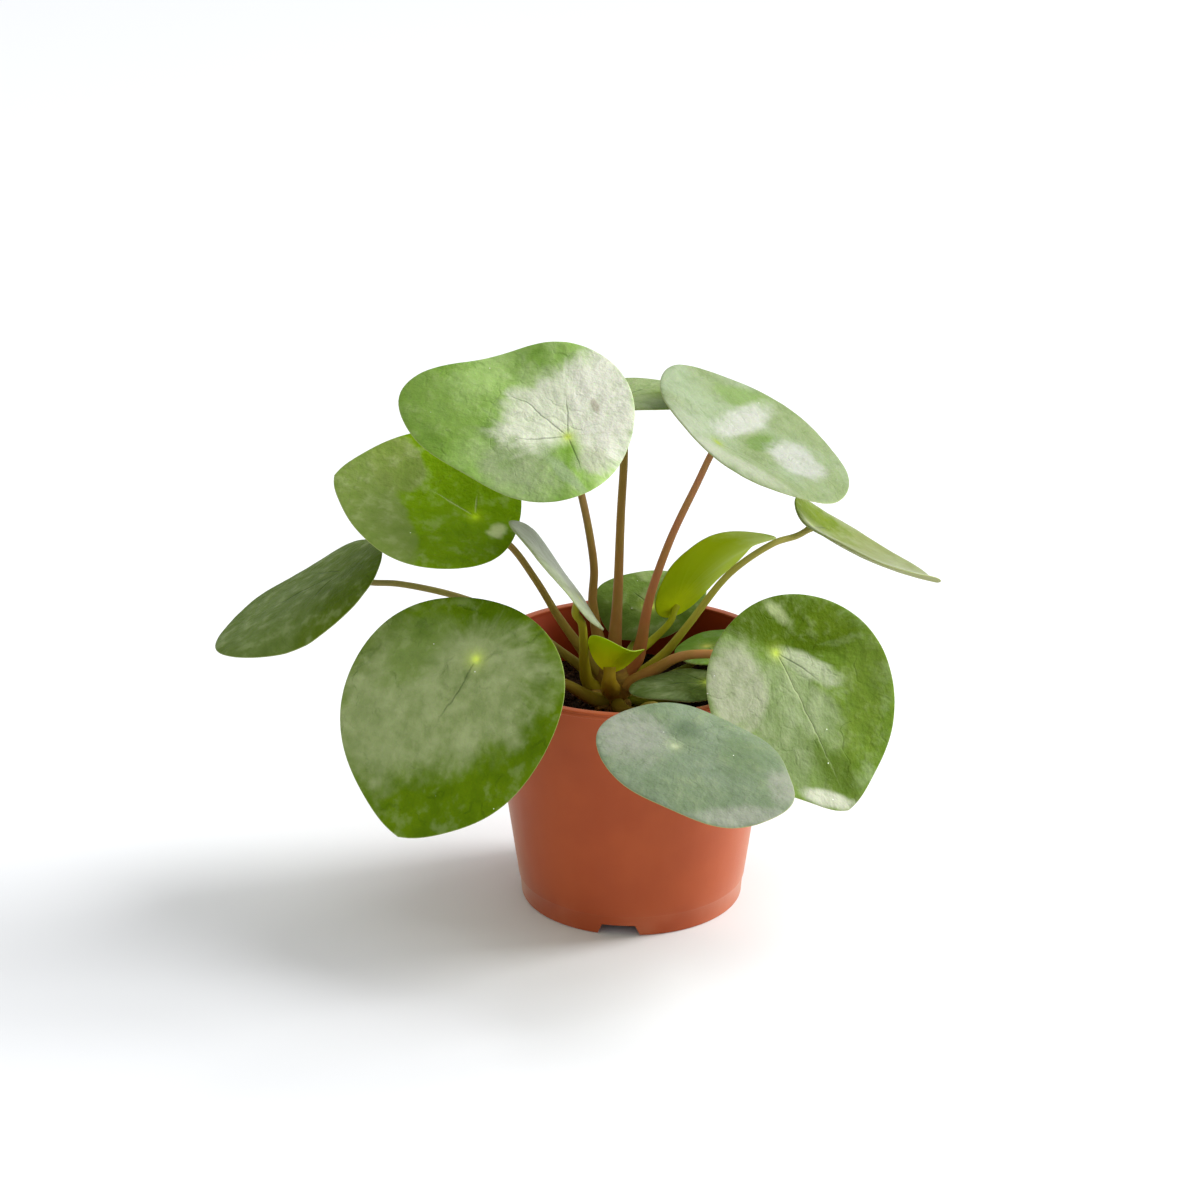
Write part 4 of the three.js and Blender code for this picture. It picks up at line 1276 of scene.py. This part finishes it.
def pot_profile():
    foot, step, depth, wall = POT["foot"], POT["step"], POT["step_depth"], POT["wall"]
    lip, height, top_wall = POT["lip"], POT["height"], POT["wall_top"]
    outside = [(0, 0), *arc((foot - 0.8, 0.8), 0.8, -90, 0), (wall_radius(step) - depth, step - 0.7)]
    outside += [(wall_radius(step) - 0.12, step - 0.15), (wall_radius(step) + 0.02, step + 0.4)]
    outside += [(wall_radius(z), z) for z in (20, 40, 60, 80, 95)]
    outside += [(top_wall - 0.05, LIP_FOOT - 0.4), (top_wall + 0.25, LIP_FOOT)]
    outside += arc((lip - 0.4, LIP_FOOT + 0.4), 0.4, -90, 0)
    outside += [(lip - 0.02, height - 1.1), (lip - 0.18, height - 0.95), (lip - 0.12, height - 0.7)]
    outside += arc((lip - 0.5, height - 0.42), 0.42, 0, 90)
    mouth = top_wall - wall + POT["round"]
    inside = arc((mouth + 0.4, height - 0.4), 0.4, 90, 180)
    inside += [(mouth - 0.1, LIP_FOOT + 0.6), (top_wall - wall, LIP_FOOT)]
    inside += [(inner_radius(z), z) for z in (80, 55, 30, step)]
    inside += arc((foot - wall - 2.5, POT["floor"] + 2), 2, 0, -90)
    return [*outside, *inside, (0, POT["floor"])]


print("points in the pot's profile:", len(pot_profile()))


# %% Bars and rods for the drainage channels
CHANNEL = dict(
    count=3, first=-97, foot_width=17, top_width=13, height=4.5, inner=15, drain_radius=3.5,
    drain_at=31,
)
POT_SEGMENTS, ROD_SEGMENTS = 192, 40
ROOF_INSET, ROOF_FOOT, ROOF_REACH = 0.6, 0.4, 40
OVERCUT = 5


def mesh_object(name, shape):
    mesh = bpy.data.meshes.new(name)
    shape.to_mesh(mesh)
    shape.free()
    made = bpy.data.objects.new(name, mesh)
    bpy.context.scene.collection.objects.link(made)
    return made


def swing(shape, angle):
    """Turns a shape about the pot's axis."""
    bmesh.ops.rotate(shape, verts=shape.verts, matrix=Matrix.Rotation(math.radians(angle), 3, "Z"))


def channel_bar(angle, outset):
    """A radial bar through the foot, wider at its foot than at its top."""
    foot, top = CHANNEL["foot_width"] / 2 + outset, CHANNEL["top_width"] / 2 + outset
    height = CHANNEL["height"] + outset
    section = [
        (-foot, -OVERCUT), (foot, -OVERCUT), (foot, 0), (top, height), (-top, height), (-foot, 0),
    ]
    shape = bmesh.new()
    ends = [
        [shape.verts.new((x * MM, y * MM, z * MM)) for y, z in section]
        for x in (CHANNEL["inner"] - outset, POT["foot"] + OVERCUT)
    ]
    shape.faces.new(ends[0])
    shape.faces.new(reversed(ends[1]))
    for i in range(len(section)):
        j = (i + 1) % len(section)
        shape.faces.new((ends[0][i], ends[1][i], ends[1][j], ends[0][j]))
    bmesh.ops.recalc_face_normals(shape, faces=shape.faces)
    swing(shape, angle)
    return mesh_object("bar", shape)


def upright_rod(radius, depth, segments, middle):
    shape = bmesh.new()
    radii = dict(radius1=radius * MM, radius2=radius * MM)
    bmesh.ops.create_cone(shape, cap_ends=True, segments=segments, depth=depth * MM, **radii)
    bmesh.ops.translate(shape, verts=shape.verts, vec=Vector(middle) * MM)
    return shape


def drain_rod(angle):
    height = CHANNEL["height"]
    middle = (CHANNEL["drain_at"], 0, height)
    shape = upright_rod(CHANNEL["drain_radius"], 2 * height, ROD_SEGMENTS, middle)
    swing(shape, angle)
    return mesh_object("rod", shape)


def roof_limit():
    """A rod just inside the wall and above the underside, which a channel's roof may fill."""
    middle = (0, 0, ROOF_FOOT + ROOF_REACH / 2)
    shape = upright_rod(POT["foot"] - ROOF_INSET, ROOF_REACH, POT_SEGMENTS, middle)
    return mesh_object("limit", shape)


# %% Carve the shell
SHARP_ANGLE = 35


def carve(body, tool, operation):
    """Joins, cuts or keeps the overlap of a body and a tool, and removes the tool."""
    modifier = body.modifiers.new("Carve", "BOOLEAN")
    modifier.operation, modifier.object, modifier.solver = operation, tool, "EXACT"
    graph = bpy.context.evaluated_depsgraph_get()
    mesh = bpy.data.meshes.new_from_object(body.evaluated_get(graph))
    body.modifiers.remove(modifier)
    body.data = mesh
    bpy.data.objects.remove(tool)


def pot_mesh():
    body = bpy.data.objects.new("shell", turned_mesh("shell", pot_profile(), POT_SEGMENTS))
    bpy.context.scene.collection.objects.link(body)
    angles = [CHANNEL["first"] + 360 * i / CHANNEL["count"] for i in range(CHANNEL["count"])]
    for angle in angles:
        roof = channel_bar(angle, POT["wall"])
        carve(roof, roof_limit(), "INTERSECT")
        carve(body, roof, "UNION")
    for angle in angles:
        carve(body, channel_bar(angle, 0), "DIFFERENCE")
        carve(body, drain_rod(angle), "DIFFERENCE")
    mesh = body.data
    bpy.data.objects.remove(body)
    mesh.name = "pot_fine"
    mesh.shade_smooth()
    mesh.set_sharp_from_angle(angle=math.radians(SHARP_ANGLE))
    return mesh


pot_shell = pot_mesh()
print("pot shell:", len(pot_shell.polygons), "faces")


# %% The pot's plastic
SHADE_SIZE, DRAWN_SIZE, PLASTIC_GRAIN = 24, 5, 0.35
DUSTY, MOUTH_TOP, WALL_BLUR = (1, 14), (100.1, 100.7), 0.2


def pot_material():
    material, board, shader = new_material("terracotta_plastic")
    place = board.node("ShaderNodeTexCoord", output="Object")
    x, y, z = board.split(place)
    cloud = board.cloud(place, SHADE_SIZE * MM, detail=3.0)
    drawn_out = board.vector("MULTIPLY", place, (1.0, 1.0, 0.12))
    streak = board.cloud(drawn_out, DRAWN_SIZE * MM, detail=3.0)
    grain = board.cloud(place, PLASTIC_GRAIN * MM, detail=2.0)
    colour = board.mix(board.step(cloud, 0.3, 0.7), rgb("#a84c26"), rgb("#b05229"))
    colour = board.mix((streak - 0.45) * 0.5, colour, rgb("#a8481e"))
    height = z / MM
    dust = (1 - board.step(height, *DUSTY)) * board.step(cloud, 0.4, 0.7) * 0.1
    colour = board.mix(dust, colour, rgb("#d8a98c"))
    # Painted shade: below the mouth, the inside of the wall takes a deeper, dimmer red.
    slope = (wall_radius(90) - wall_radius(10)) / 80
    depth = (wall_radius(0) - POT["wall"] / 2) + height * slope - board.hypot(x, y) / MM
    inside = board.step(depth, -WALL_BLUR, WALL_BLUR) * (1 - board.step(height, *MOUTH_TOP))
    colour = board.mix(inside, colour, rgb("#943000"))
    set_shader(board, shader, {
        "Base Color": colour,
        "Roughness": 0.42 + 0.12 * streak,
        "Normal": board.bump(grain + 1.5 * streak, 0.25, 0.08 * MM),
        "Specular IOR Level": 0.2,
        "Sheen Weight": 0.55,
        "Sheen Roughness": 0.35,
        "Sheen Tint": (1.0, 0.84, 0.7, 1.0),
        "Subsurface Weight": 0.08,
        "Subsurface Radius": (1.0, 0.35, 0.2),
        "Subsurface Scale": 1.5 * MM,
    })
    return material


pot_shell.materials.append(pot_material())
pot = add_piece("nursery_pot", pot_shell, "pot", "pot")
print(pot.name, len(pot.data.polygons), "faces")

# %% [markdown]
# A white floor that runs out of sight needs only one large pale plane. The light is broad and soft.
# Most of it comes from a wide, soft sun high up at the right and a little behind, so the shadow falls
# to the left. A low panel at the right lights the pot's right side, and a white room does the rest.

# %% Floor
FLOOR_HALF = 6.0


def make_floor():
    shape = bmesh.new()
    bmesh.ops.create_grid(shape, x_segments=1, y_segments=1, size=FLOOR_HALF)
    floor = mesh_object("floor", shape)
    material, board, shader = new_material("pale_floor")
    set_shader(board, shader, {
        "Base Color": (0.845, 0.86, 0.88, 1.0), "Roughness": 0.8, "Specular IOR Level": 0.1,
    })
    floor.data.materials.append(material)
    return floor


floor = make_floor()
print("floor:", floor.dimensions[0], "m wide")

# %% Lights
SUN_STRENGTH, SUN_SOFTNESS = 1.6, 42
PANEL_WIDTH, PANEL_HEIGHT, PANEL_POWER = 0.5, 0.9, 22
ROOM_STRENGTH = 0.64


def aim_light(light, azimuth, height, distance):
    """Puts a light where it looks at the plant. Azimuth 0 is to the right and 90 backwards, and both
    it and the height are in degrees."""
    around, up = math.radians(azimuth), math.radians(height)
    away = Vector((math.cos(around) * math.cos(up), math.sin(around) * math.cos(up), math.sin(up)))
    lamp = bpy.data.objects.new(light.name, light)
    lamp.location = AIM + away * distance
    lamp.rotation_euler = away.to_track_quat("Z", "Y").to_euler()
    bpy.context.scene.collection.objects.link(lamp)


sun = bpy.data.lights.new("key", "SUN")
sun.energy, sun.angle = SUN_STRENGTH, math.radians(SUN_SOFTNESS)
aim_light(sun, azimuth=12, height=56, distance=3)

panel = bpy.data.lights.new("side_panel", "AREA")
panel.shape, panel.size, panel.size_y = "RECTANGLE", PANEL_WIDTH, PANEL_HEIGHT
panel.energy = PANEL_POWER
aim_light(panel, azimuth=14, height=22, distance=1.5)

world = bpy.data.worlds.new("room")
world.use_nodes = True
background = world.node_tree.nodes["Background"]
background.inputs["Color"].default_value = (1.0, 1.0, 1.0, 1.0)
background.inputs["Strength"].default_value = ROOM_STRENGTH
bpy.context.scene.world = world
bpy.context.scene.view_settings.view_transform = "Standard"
